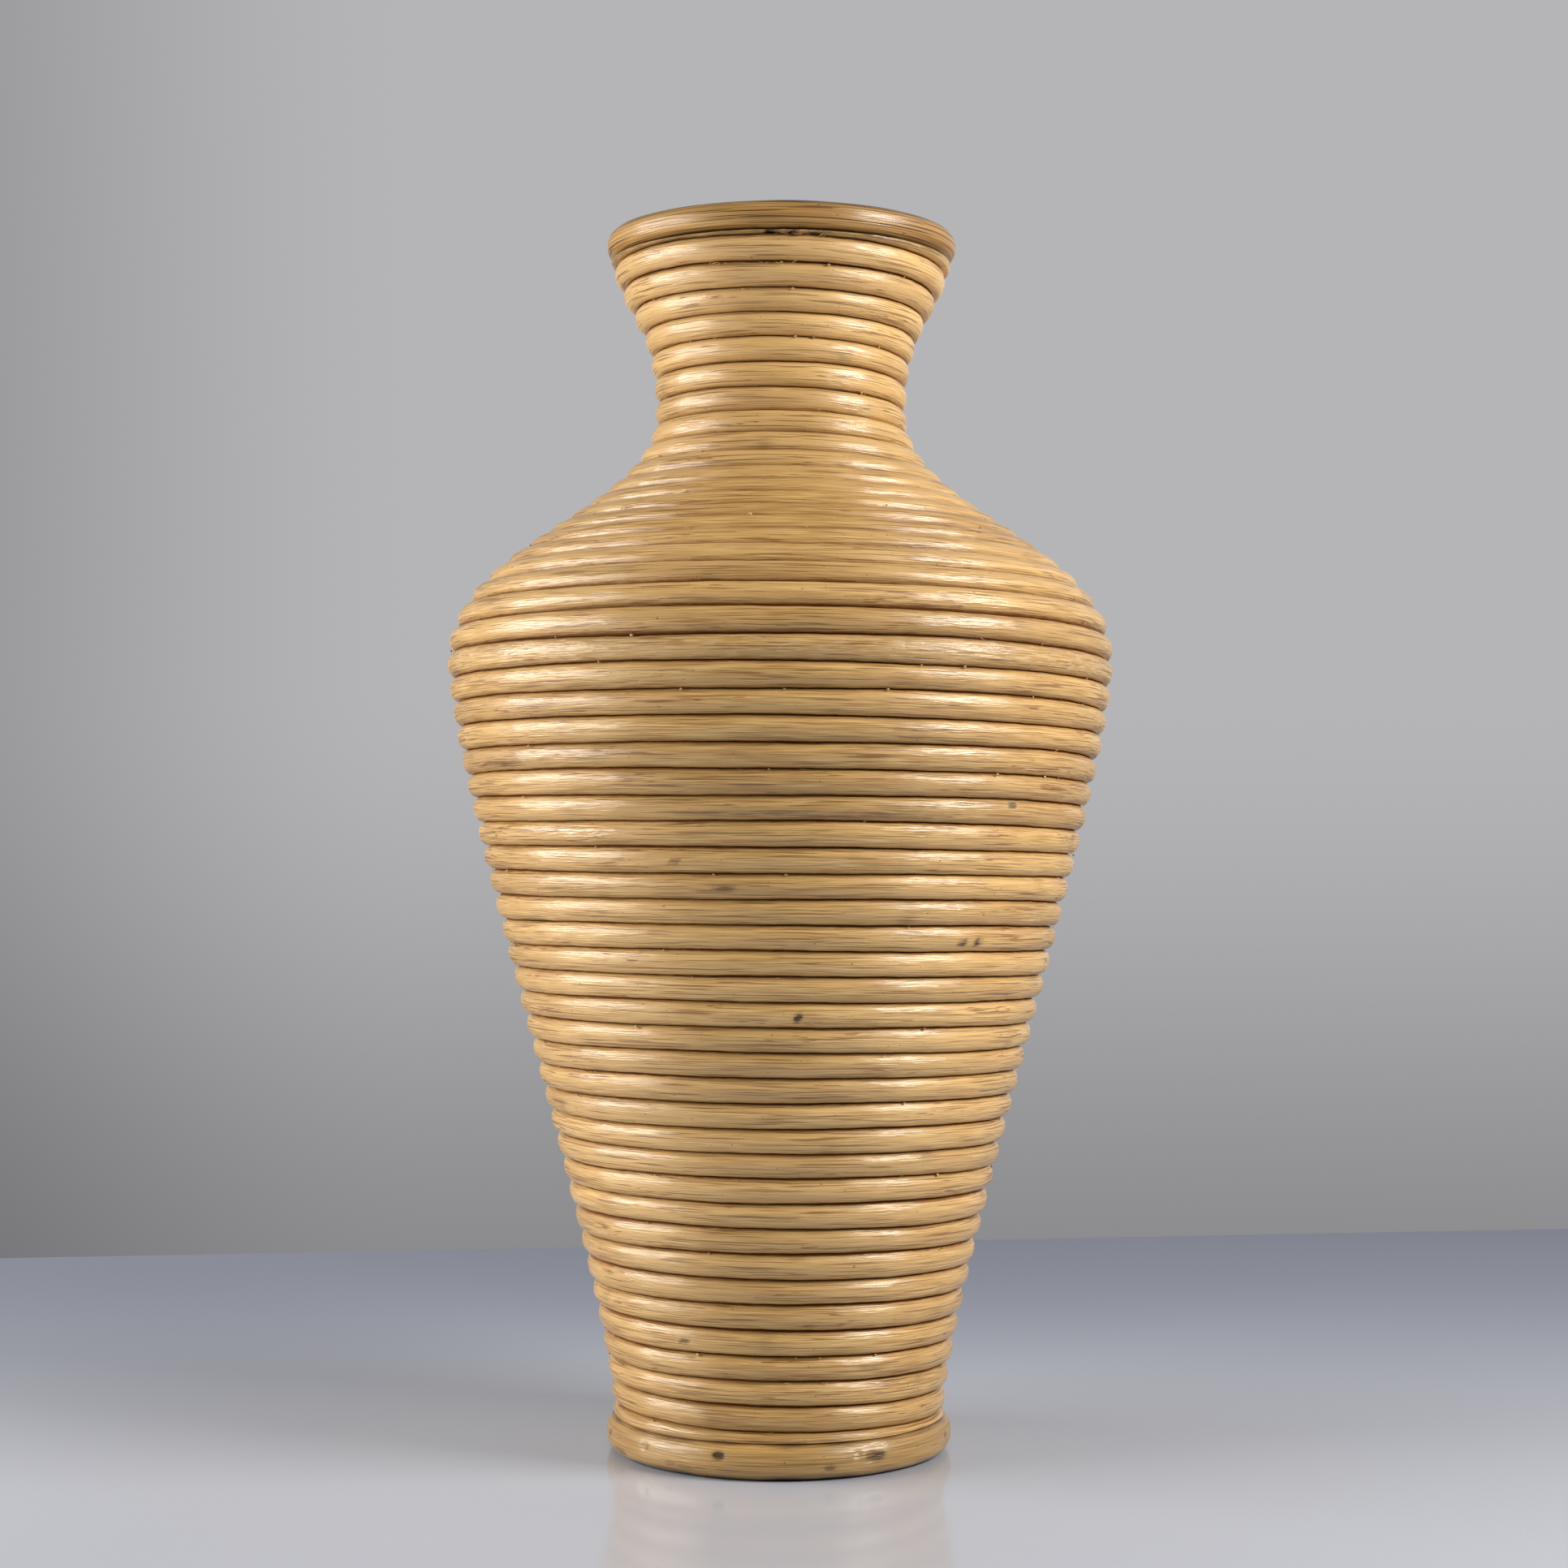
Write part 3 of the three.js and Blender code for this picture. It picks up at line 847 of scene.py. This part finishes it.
# Marks on the foot: angle, height, half length, half width, depth, and how dark and how scarred they are. Up
# to the one at 247 degrees they are what shows of the nails and their filler. The last four are small dents
# near the lower edge.
FOOT_MARKS = [
    (-75.5, 9.0, 1.6, 1.6, 0.3, 0.8, 0.0),
    (-49.1, 8.9, 2.6, 1.8, 0.4, 0.1, 0.3),
    (-48.3, 8.8, 0.8, 0.9, 0.1, 0.9, 0.0),
    (-19.4, 10.0, 3.0, 1.7, 0.4, 1.0, 0.0),
    (26.0, 9.8, 1.9, 1.5, 0.5, 0.3, 0.9),
    (32.6, 8.4, 4.9, 2.4, 0.4, 1.0, 0.0),
    (33.7, 12.6, 4.2, 1.0, 0.2, 0.0, 0.8),
    (73.0, 8.6, 1.9, 1.7, 0.3, 0.5, 0.2),
    (73.0, 8.6, 0.7, 0.8, 0.1, 0.9, 0.0),
    (104.0, 8.4, 2.4, 1.5, 0.4, 0.8, 0.0),
    (130.0, 9.0, 2.0, 1.5, 0.4, 0.8, 0.0),
    (185.0, 8.0, 3.0, 1.6, 0.5, 0.9, 0.0),
    (211.0, 9.2, 2.2, 1.5, 0.4, 0.7, 0.2),
    (247.0, 8.6, 2.4, 1.5, 0.4, 0.8, 0.0),
    (-37.5, 4.6, 3.0, 1.0, 0.1, 0.5, 0.0),
    (-31.0, 3.6, 5.0, 1.2, 0.1, 0.4, 0.0),
    (-66.0, 3.6, 7.0, 1.4, 0.2, 0.7, 0.0),
    (16.4, 5.2, 2.6, 1.2, 0.2, 0.6, 0.0),
]


def foot_shape(turns, out, up):
    """How far the foot's skin lies in or out, true where it meets the cane, with darker edges and nail
    marks.
    """
    # Low waves round the ring, which end where it meets the cane
    angle = TURN * turns
    push = -POLE_EASE + 0.06 * np.sin(4 * angle + 2) + 0.05 * np.sin(9 * angle + 3 * up)
    push = push * np.clip((1 - up) / 0.3, 0, 1)

    # Darker in patches along the lower edge, and weaker along the top
    edge = 0.4 + 0.3 * np.sin(7 * angle) + 0.3 * np.sin(19 * angle + 1)
    stains_and_shade = np.clip(edge + 0.3, 0, 1) * np.clip((-up - 0.6) / 0.3, 0, 1)
    stains_and_shade = np.maximum(stains_and_shade, 0.7 * np.clip(edge + 0.2, 0, 1) * np.clip((up - 0.7) / 0.2, 0, 1))

    scarred = np.zeros_like(push)
    for where, height, half_length, half_width, depth, dark, scar in FOOT_MARKS:
        aside = (angle - math.radians(where) + math.pi) % TURN - math.pi
        rise = FOOT_HEIGHT + up * FOOT_POLE / 2 - height
        far = np.hypot(aside * (FOOT_RADIUS + FOOT_POLE / 2) / half_length, rise / half_width)
        inside = np.exp(-(far**6)) * (out > 0)
        push = push - depth * inside
        stains_and_shade = np.maximum(stains_and_shade, dark * inside)
        scarred = np.maximum(scarred, scar * inside)
    return push, {"stains_and_shade": stains_and_shade, "scarred": scarred}


rim = bent_pole(
    "bent_rim_pole", RIM_POLE, RIM_RADIUS, RIM_HEIGHT, RIM_SCARF_SIDE,
    RIM_RINGS, RIM_SIDES, RIM_FULLNESS, rim_shape,
)
stand(rim.name, "rim_ring", rim, rim_rattan)
foot = bent_pole(
    "bent_foot_pole", FOOT_POLE, FOOT_RADIUS, FOOT_HEIGHT, FOOT_SCARF_SIDE,
    FOOT_RINGS, FOOT_SIDES, FOOT_FULLNESS, foot_shape,
)
stand(foot.name, "foot_ring", foot, foot_rattan)
print("rim and foot have", len(rim.data.polygons), "and", len(foot.data.polygons), "faces")

# %% [markdown]
# ## The nails
#
# Wire nails go through the foot pole into the disc. A turned profile would give one as well. Here one nail
# is modelled from a thin cylinder, which needs only a few extrusions: its outer end is widened to a head
# and its inner end drawn to a point. The other nine are copies, turned round the vase.

# %% Model one nail and copy it
NAIL_SIDES = 16
NAIL_SHANK = 2.2
NAIL_LENGTH = 34
NAIL_HEAD = 4.8
NAIL_HEAD_THICKNESS = 1
NAIL_SINK = 1

# The head's upper edge is taken off: over this share of its thickness it narrows to this share of its width
HEAD_EDGE = 0.3
HEAD_TOP = 0.8

# Angles between faces above this stay sharp
SHARP = math.radians(35)

# Blackened steel: dark and dull, with spots of brown rust about 1.5 mm across
RUST_SPOT = 1.5
steel, steel_tree, steel_surface = new_material("blackened wire nail steel")
rust = add(steel_tree, "ShaderNodeTexNoise", {
    "Vector": add(steel_tree, "ShaderNodeTexCoord").outputs["Object"],
    "Scale": 1 / (RUST_SPOT * MM),
    "Detail": 3,
})
two_tone(steel_tree, steel_surface, rust.outputs[0], "#4d463e", "#3a2c20")
steel_surface.inputs["Metallic"].default_value = 0.8
steel_surface.inputs["Roughness"].default_value = 0.5


def select_faces(piece, chosen):
    """Selects the faces for which chosen(face) holds, in edit mode."""
    bpy.ops.mesh.select_mode(type="FACE")
    bpy.ops.mesh.select_all(action="DESELECT")
    bpy.ops.object.mode_set(mode="OBJECT")
    for face in piece.data.polygons:
        face.select = chosen(face)
    bpy.ops.object.mode_set(mode="EDIT")


def first_nail():
    """A nail along +X at the foot's height, with its head just under the pole's outside."""
    head_top = FOOT_RADIUS + FOOT_POLE / 2 - NAIL_SINK
    shank_end = head_top - NAIL_HEAD_THICKNESS
    shank = NAIL_LENGTH - NAIL_HEAD_THICKNESS - NAIL_SHANK
    bpy.ops.object.select_all(action="DESELECT")
    bpy.ops.mesh.primitive_cylinder_add(
        vertices=NAIL_SIDES,
        radius=NAIL_SHANK / 2 * MM,
        depth=shank * MM,
        rotation=(0, math.pi / 2, 0),
        location=((shank_end - shank / 2) * MM, 0, FOOT_HEIGHT * MM),
    )
    nail = bpy.context.object
    bpy.ops.object.transform_apply(location=True, rotation=True, scale=True)
    bpy.ops.object.mode_set(mode="EDIT")
    select_faces(nail, lambda face: face.normal.x > 0.9)
    widen = NAIL_HEAD / NAIL_SHANK
    bpy.ops.mesh.extrude_region_move()
    bpy.ops.transform.resize(value=(1, widen, widen))
    for share in (1 - HEAD_EDGE, HEAD_EDGE):
        rise = NAIL_HEAD_THICKNESS * share * MM
        bpy.ops.mesh.extrude_region_move(TRANSFORM_OT_translate={"value": (rise, 0, 0)})
    bpy.ops.transform.resize(value=(1, HEAD_TOP, HEAD_TOP))
    select_faces(nail, lambda face: face.normal.x < -0.9 and len(face.vertices) > 4)
    bpy.ops.mesh.extrude_region_move(TRANSFORM_OT_translate={"value": (-NAIL_SHANK * MM, 0, 0)})
    bpy.ops.mesh.merge(type="CENTER")
    bpy.ops.mesh.select_all(action="SELECT")
    bpy.ops.mesh.normals_make_consistent(inside=False)
    bpy.ops.object.mode_set(mode="OBJECT")
    bpy.ops.object.shade_smooth_by_angle(angle=SHARP)
    return nail


pattern = first_nail()
for place, (node, angle) in enumerate(zip(nail_nodes, NAIL_ANGLES), 1):
    nail = put(f"driven_nail_{place:02d}", pattern.data.copy())
    nail.data.transform(Matrix.Rotation(math.radians(angle - 90), 4, "Z"))
    stand(nail.name, node, nail, steel)
bpy.data.objects.remove(pattern)
print(len(NAIL_ANGLES), "nails")

# %% [markdown]
# ## The bottom
#
# A disc of plywood sits inside the foot. Each ply could be a disc of its own, but they are glued and only
# their edges could tell them apart, so it is one cylinder with its edges taken off. Its finish shows the
# face veneer's grain above and below, and the layers on its edge.

# %% Cut the plywood disc
disc_low, disc_high = (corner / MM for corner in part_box("base_disc"))
DISC_SIDES = 128
DISC_EDGE = 0.5

# Raw birch: pale and matt. The thickness of a ply, and how long and how wide the streaks of its grain are.
PLY = 1.5
STREAK_LENGTH, STREAK_WIDTH = 60, 2.5

plywood, ply_tree, ply_surface = new_material("raw birch plywood")
ply_place = add(ply_tree, "ShaderNodeTexCoord").outputs["Object"]
ply_stretch = add(ply_tree, "ShaderNodeMapping", {
    "Vector": ply_place,
    "Scale": (1 / (STREAK_LENGTH * MM), 1 / (STREAK_WIDTH * MM), 1 / (PLY * MM)),
})
ply_grain = add(ply_tree, "ShaderNodeTexNoise", {"Vector": ply_stretch.outputs[0], "Scale": 1, "Detail": 5})
two_tone(ply_tree, ply_surface, ply_grain.outputs[0], "#cdb083", "#a98556")
ply_surface.inputs["Roughness"].default_value = 0.75

bpy.ops.object.select_all(action="DESELECT")
bpy.ops.mesh.primitive_cylinder_add(
    vertices=DISC_SIDES,
    radius=disc_high.x * MM,
    depth=(disc_high.z - disc_low.z) * MM,
    location=(0, 0, (disc_high.z + disc_low.z) / 2 * MM),
)
disc = bpy.context.object
bpy.ops.object.transform_apply(location=True, rotation=True, scale=True)
bevel = disc.modifiers.new("edges", "BEVEL")
bevel.width = DISC_EDGE * MM
bevel.segments = 2
bpy.ops.object.modifier_apply(modifier=bevel.name)
bpy.ops.object.shade_smooth_by_angle(angle=SHARP)
stand("plywood_disc", "base_disc", disc, plywood)
print("the disc is", round(2 * disc_high.x, 1), "mm across")

# %% [markdown]
# ## Crumbs and frayed fibres
#
# Dried drops of varnish and short torn fibres sit in the seams. A hair system could scatter them, but it
# doesn't leave meshes behind, so one crumb and one fibre are modelled, copied to their places and joined.

# %% Tools to scatter small things along the seams
scatter_rng = np.random.default_rng(5)

# The colour of loose bits changes over about this many mm
BIT_PATTERN = 3


def seam_place(turns, out, scale, spin, lift):
    """A matrix that puts a thing in the seam below this turn: x along it, y outwards and z up."""
    middle = np.array([seam_below(turns)])
    down = wall_down(middle)[0]
    outward = np.array([-down[1], down[0]])
    radius, height = wall_point(middle)[0] + outward * out
    angle = TURN * turns
    around = Vector((math.cos(angle), math.sin(angle), 0))
    aside = Vector((math.sin(angle), -math.cos(angle), 0))
    rise = Vector((0, 0, 1))
    off_wall = aside * outward[0] + rise * outward[1]
    up_wall = -aside * down[0] - rise * down[1]
    axes = Matrix((around, off_wall, up_wall)).transposed()
    place = (aside * radius + rise * height) * MM
    turned = Matrix.Rotation(spin, 4, "Y") @ Matrix.Rotation(lift, 4, "Z") @ Matrix.Scale(scale, 4)
    return Matrix.Translation(place) @ axes.to_4x4() @ turned


def scatter(name, pattern, places, material):
    """Copies a small thing to each place and joins the copies into one piece."""
    bpy.ops.object.select_all(action="DESELECT")
    for place in places:
        copy = put(name, pattern.data.copy())
        copy.data.transform(place)
        copy.select_set(True)
    bpy.context.view_layer.objects.active = copy
    bpy.ops.object.join()
    bpy.data.objects.remove(pattern)
    stand(name, None, copy, material)


def loose_bits(name, light, dark, roughness):
    """A finish for small things: every one falls on another part of a coarse noise, so no two are alike."""
    material, tree, surface = new_material(name)
    place = add(tree, "ShaderNodeTexCoord").outputs["Object"]
    noise = add(tree, "ShaderNodeTexNoise", {"Vector": place, "Scale": 1 / (BIT_PATTERN * MM), "Detail": 2})
    factor = add(tree, "ShaderNodeMapRange", {0: noise.outputs[0], 1: 0.35, 2: 0.65})
    two_tone(tree, surface, factor.outputs[0], light, dark)
    surface.inputs["Roughness"].default_value = roughness
    return material


# %% Crumbs of varnish
CRUMBS = 220
CRUMB_RADIUS = 0.5
CRUMB_LUMPS = 0.7, 1.15
CRUMB_STRETCH = 1.5

# How far out from the middle of the wall the crumbs sit, in mm, and their scale
CRUMB_OUT = 3.0, 3.9
CRUMB_SCALE = 0.45, 1.15

bpy.ops.object.select_all(action="DESELECT")
bpy.ops.mesh.primitive_ico_sphere_add(subdivisions=2, radius=CRUMB_RADIUS * MM)
crumb = bpy.context.object
for vertex in crumb.data.vertices:
    vertex.co = vertex.co * scatter_rng.uniform(*CRUMB_LUMPS)
    vertex.co.x *= CRUMB_STRETCH
bpy.ops.object.shade_smooth()
crumb_places = [
    seam_place(turns, scatter_rng.uniform(*CRUMB_OUT), scatter_rng.uniform(*CRUMB_SCALE), 0, 0)
    for turns in scatter_rng.uniform(0, last_turn - 1, CRUMBS)
]

# Dried varnish: amber beads, some pale and some brown, that catch a small glint
varnish_drops = loose_bits("dried varnish drops", "#d9b679", "#8a5f30", 0.35)
scatter("dried_varnish_crumbs", crumb, crumb_places, varnish_drops)
print(len(crumb_places), "crumbs")

# %% Torn fibres
FIBRES = 110
FIBRE_RINGS, FIBRE_SIDES = 5, 5

# A torn fibre: its length and thickness, and how far it bends out and up, in mm
FIBRE_LENGTH = 3.2
FIBRE_THICKNESS = 0.32
FIBRE_BEND_OUT = 0.9
FIBRE_BEND_UP = 0.5

# How far out from the middle of the wall a fibre starts, in mm, its scale, and how it is turned, in radians
FIBRE_OUT = 3.6, 4.2
FIBRE_SCALE = 0.4, 1.1
FIBRE_SPIN = -0.6, 0.6
FIBRE_LIFT = -0.1, 0.3

# More of them between these turns, at the broken thin start of the cane and under it
FRAYED = [(-1 - 6 / 360, -1 + 15 / 360), (-26 / 360, 6 / 360)]
FRAYED_FIBRES = 12


def bent_strand(along, around):
    """A thin strand that curls away from the seam and ends in a point."""
    angle = TURN * around
    thick = FIBRE_THICKNESS / 2 * (1.05 - along)
    bend_out, bend_up = FIBRE_BEND_OUT * along**2, FIBRE_BEND_UP * np.sin(2 * along)
    centre = np.stack([FIBRE_LENGTH * along, bend_out, bend_up], axis=-1)
    ring = np.stack([np.zeros_like(angle), thick * np.cos(angle), thick * np.sin(angle)], axis=-1)
    return centre + ring, centre, {}


strand = rolled_rod("frayed_fibres", FIBRE_RINGS, FIBRE_SIDES, bent_strand)
fibre_turns = np.concatenate([
    scatter_rng.uniform(0, last_turn - 1, FIBRES),
    *(scatter_rng.uniform(low, high, FRAYED_FIBRES) for low, high in FRAYED),
])
fibre_places = [
    seam_place(
        turns,
        scatter_rng.uniform(*FIBRE_OUT),
        scatter_rng.choice([-1, 1]) * scatter_rng.uniform(*FIBRE_SCALE),
        scatter_rng.uniform(*FIBRE_SPIN),
        scatter_rng.uniform(*FIBRE_LIFT),
    )
    for turns in fibre_turns
]

# Torn fibre without varnish: pale straw to brown, and matt
torn_fibre = loose_bits("torn rattan fibre", "#d8b67c", "#a07a45", 0.6)
scatter("frayed_fibres", strand, fibre_places, torn_fibre)
print(len(fibre_places), "fibres")

# %% [markdown]
# ## Floor, light and camera
#
# A plain pale table top and a grey surround leave the vase to itself. A picture of a room could light it,
# but two large soft lamps do it in a way that can be followed: they stand at both sides, so that every
# course carries two long soft glints and darkens towards the middle. The wall darkens downwards and to the
# left, and the studio before the vase is dark, so that the varnish finds little to mirror at the front.

# %% The table top

# In metres: how far the table reaches behind the vase, its depth and its width
TABLE_BACK = 0.6
TABLE_DEPTH = 2
TABLE_WIDTH = 2.8
TABLE_TURN = math.radians(8.5)

# Laminate: pale blue grey, and glossy enough before the vase to mirror its foot. The far end lies in shade,
# from SHADE_FROM to SHADE_FULL metres back, and the table is duller away from GLOSSY_PLACE.
SHADE_FROM, SHADE_FULL = -0.1, 0.5
GLOSSY_PLACE = (0, -0.15, 0)
GLOSSY_UP_TO, DULL_FROM = 0.12, 0.5
GLOSSY, DULL = 0.12, 0.55

table_material, table_tree, table_surface = new_material("pale satin laminate")
table_place = add(table_tree, "ShaderNodeTexCoord").outputs["Object"]
table_far = add(table_tree, "ShaderNodeSeparateXYZ", {0: table_place}).outputs["Y"]
table_shade = add(table_tree, "ShaderNodeMapRange", {
    0: table_far, 1: SHADE_FROM, 2: SHADE_FULL, 3: 0, 4: 1,
}, interpolation_type="SMOOTHSTEP")
two_tone(table_tree, table_surface, table_shade.outputs[0], "#b2b7c4", "#8c93a5")
table_apart = add(table_tree, "ShaderNodeVectorMath", {
    0: table_place, 1: GLOSSY_PLACE,
}, operation="DISTANCE").outputs["Value"]
table_dull = add(table_tree, "ShaderNodeMapRange", {
    0: table_apart, 1: GLOSSY_UP_TO, 2: DULL_FROM, 3: GLOSSY, 4: DULL,
}, interpolation_type="SMOOTHSTEP")
table_tree.links.new(table_dull.outputs[0], table_surface.inputs["Roughness"])
table_surface.inputs["Specular IOR Level"].default_value = 0.4
table_surface.inputs["IOR"].default_value = 1.5

bpy.ops.object.select_all(action="DESELECT")
bpy.ops.mesh.primitive_plane_add(size=1)
table = bpy.context.object
table.name = "table_top"
table.data.transform(
    Matrix.Rotation(TABLE_TURN, 4, "Z")
    @ Matrix.Translation((0, TABLE_BACK - TABLE_DEPTH / 2, 0))
    @ Matrix.Diagonal((TABLE_WIDTH, TABLE_DEPTH, 1, 1))
)
table.data.materials.append(table_material)
print("the table reaches", TABLE_BACK, "m behind the vase")

# %% The surround
ROOM_STRENGTH = 0.27

# How the wall darkens with the direction in which it is seen: from where to where on that axis, and down to
# what share of its tone. It does so low down and far to the left, and in reflections towards the front.
LOW_FROM, LOW_TO, LOW_SHARE = -0.18, 0.06, 0.53
LEFT_FROM, LEFT_TO, LEFT_SHARE = -0.345, -0.115, 0.6
FRONT_FROM, FRONT_TO, FRONT_SHARE = -0.2, 0.5, 0.03

world = bpy.data.worlds.new("surround")
bpy.context.scene.world = world
world.use_nodes = True
world_tree = world.node_tree
room = world_tree.nodes["Background"]
room.inputs["Color"].default_value = linear("#b4b4b4")
room.inputs["Strength"].default_value = ROOM_STRENGTH

# The wall as the camera sees it
seen = add(world_tree, "ShaderNodeBackground", {"Strength": 1})
direction = add(world_tree, "ShaderNodeTexCoord").outputs["Generated"]
towards = add(world_tree, "ShaderNodeSeparateXYZ", {0: direction}).outputs
lower = add(world_tree, "ShaderNodeMapRange", {
    0: towards["Z"], 1: LOW_FROM, 2: LOW_TO, 3: LOW_SHARE, 4: 1,
}, interpolation_type="SMOOTHSTEP")
leftward = add(world_tree, "ShaderNodeMapRange", {
    0: towards["X"], 1: LEFT_FROM, 2: LEFT_TO, 3: LEFT_SHARE, 4: 1,
}, interpolation_type="SMOOTHSTEP")
shade = add(world_tree, "ShaderNodeMath", {
    0: lower.outputs[0], 1: leftward.outputs[0],
}, operation="MULTIPLY")

# Reflections find the pale wall only at the back: the studio before the vase is dark
path = add(world_tree, "ShaderNodeLightPath").outputs
backward = add(world_tree, "ShaderNodeMapRange", {
    0: towards["Y"], 1: FRONT_FROM, 2: FRONT_TO, 3: FRONT_SHARE, 4: 1,
})
lit = add(world_tree, "ShaderNodeMath", {
    0: path["Is Camera Ray"], 1: backward.outputs[0],
}, operation="MAXIMUM")
strength = add(world_tree, "ShaderNodeMath", {0: shade.outputs[0], 1: lit.outputs[0]}, operation="MULTIPLY")
grey = add(world_tree, "ShaderNodeMix", {
    FACTOR: strength.outputs[0], COLOUR_A: (0, 0, 0, 1), COLOUR_B: linear("#b5b5b8"),
}, data_type="RGBA")
world_tree.links.new(grey.outputs[MIXED], seen.inputs["Color"])

in_view = add(world_tree, "ShaderNodeMath", {
    0: path["Is Camera Ray"], 1: path["Is Glossy Ray"],
}, operation="MAXIMUM")
surround = add(world_tree, "ShaderNodeMixShader", {
    0: in_view.outputs[0], 1: room.outputs[0], 2: seen.outputs[0],
})
world_tree.links.new(surround.outputs[0], world_tree.nodes["World Output"].inputs["Surface"])
print("the room's own light has a strength of", ROOM_STRENGTH)

# %% The lamps

# In metres: how far the lamps stand from the middle of the vase, and where that is
LAMP_DISTANCE = 1.3
LAMP_AIM = Vector((0, 0, 0.25))
LAMP_COLOUR = "#fffaf2"


def soft_lamp(name, azimuth, elevation, width, height, power):
    """A large lamp that faces the middle of the vase. Azimuth is in degrees from the front, to the right."""
    data = bpy.data.lights.new(name, "AREA")
    data.shape = "RECTANGLE"
    data.size, data.size_y = width, height
    data.energy = power
    data.color = linear(LAMP_COLOUR)[:3]
    lamp = put(name, data)
    turn, rise = math.radians(azimuth), math.radians(elevation)
    back = Vector((math.sin(turn) * math.cos(rise), -math.cos(turn) * math.cos(rise), math.sin(rise)))
    lamp.location = LAMP_AIM + back * LAMP_DISTANCE
    lamp.rotation_euler = back.to_track_quat("Z", "Y").to_euler()
    lamp.visible_camera = False
    print(name, "stands at", [round(part, 2) for part in lamp.location])


soft_lamp("left_softbox", -81, 14, 1.1, 0.6, 23.5)
soft_lamp("right_softbox", 66, 28, 0.65, 0.5, 21.5)

# %% The camera

# A lens of 65 mm, about level with the middle of the vase. Distances are in metres.
CAMERA_LENS = 65.49
CAMERA_DISTANCE = 1.1992
CAMERA_HEIGHT = 0.2505
CAMERA_PITCH = math.radians(1.256)
CAMERA_YAW = math.radians(-0.076)
CAMERA_ROLL = math.radians(0.126)

camera_data = bpy.data.cameras.new("camera")
camera_data.lens = CAMERA_LENS
camera = put("camera", camera_data)
camera.matrix_world = (
    Matrix.Translation((0, -CAMERA_DISTANCE, CAMERA_HEIGHT))
    @ Matrix.Rotation(CAMERA_YAW, 4, "Z")
    @ Matrix.Rotation(math.pi / 2 + CAMERA_PITCH, 4, "X")
    @ Matrix.Rotation(CAMERA_ROLL, 4, "Z")
)
bpy.context.scene.camera = camera
bpy.context.scene.view_settings.view_transform = "Standard"
print("the camera stands", CAMERA_DISTANCE, "m before the vase")
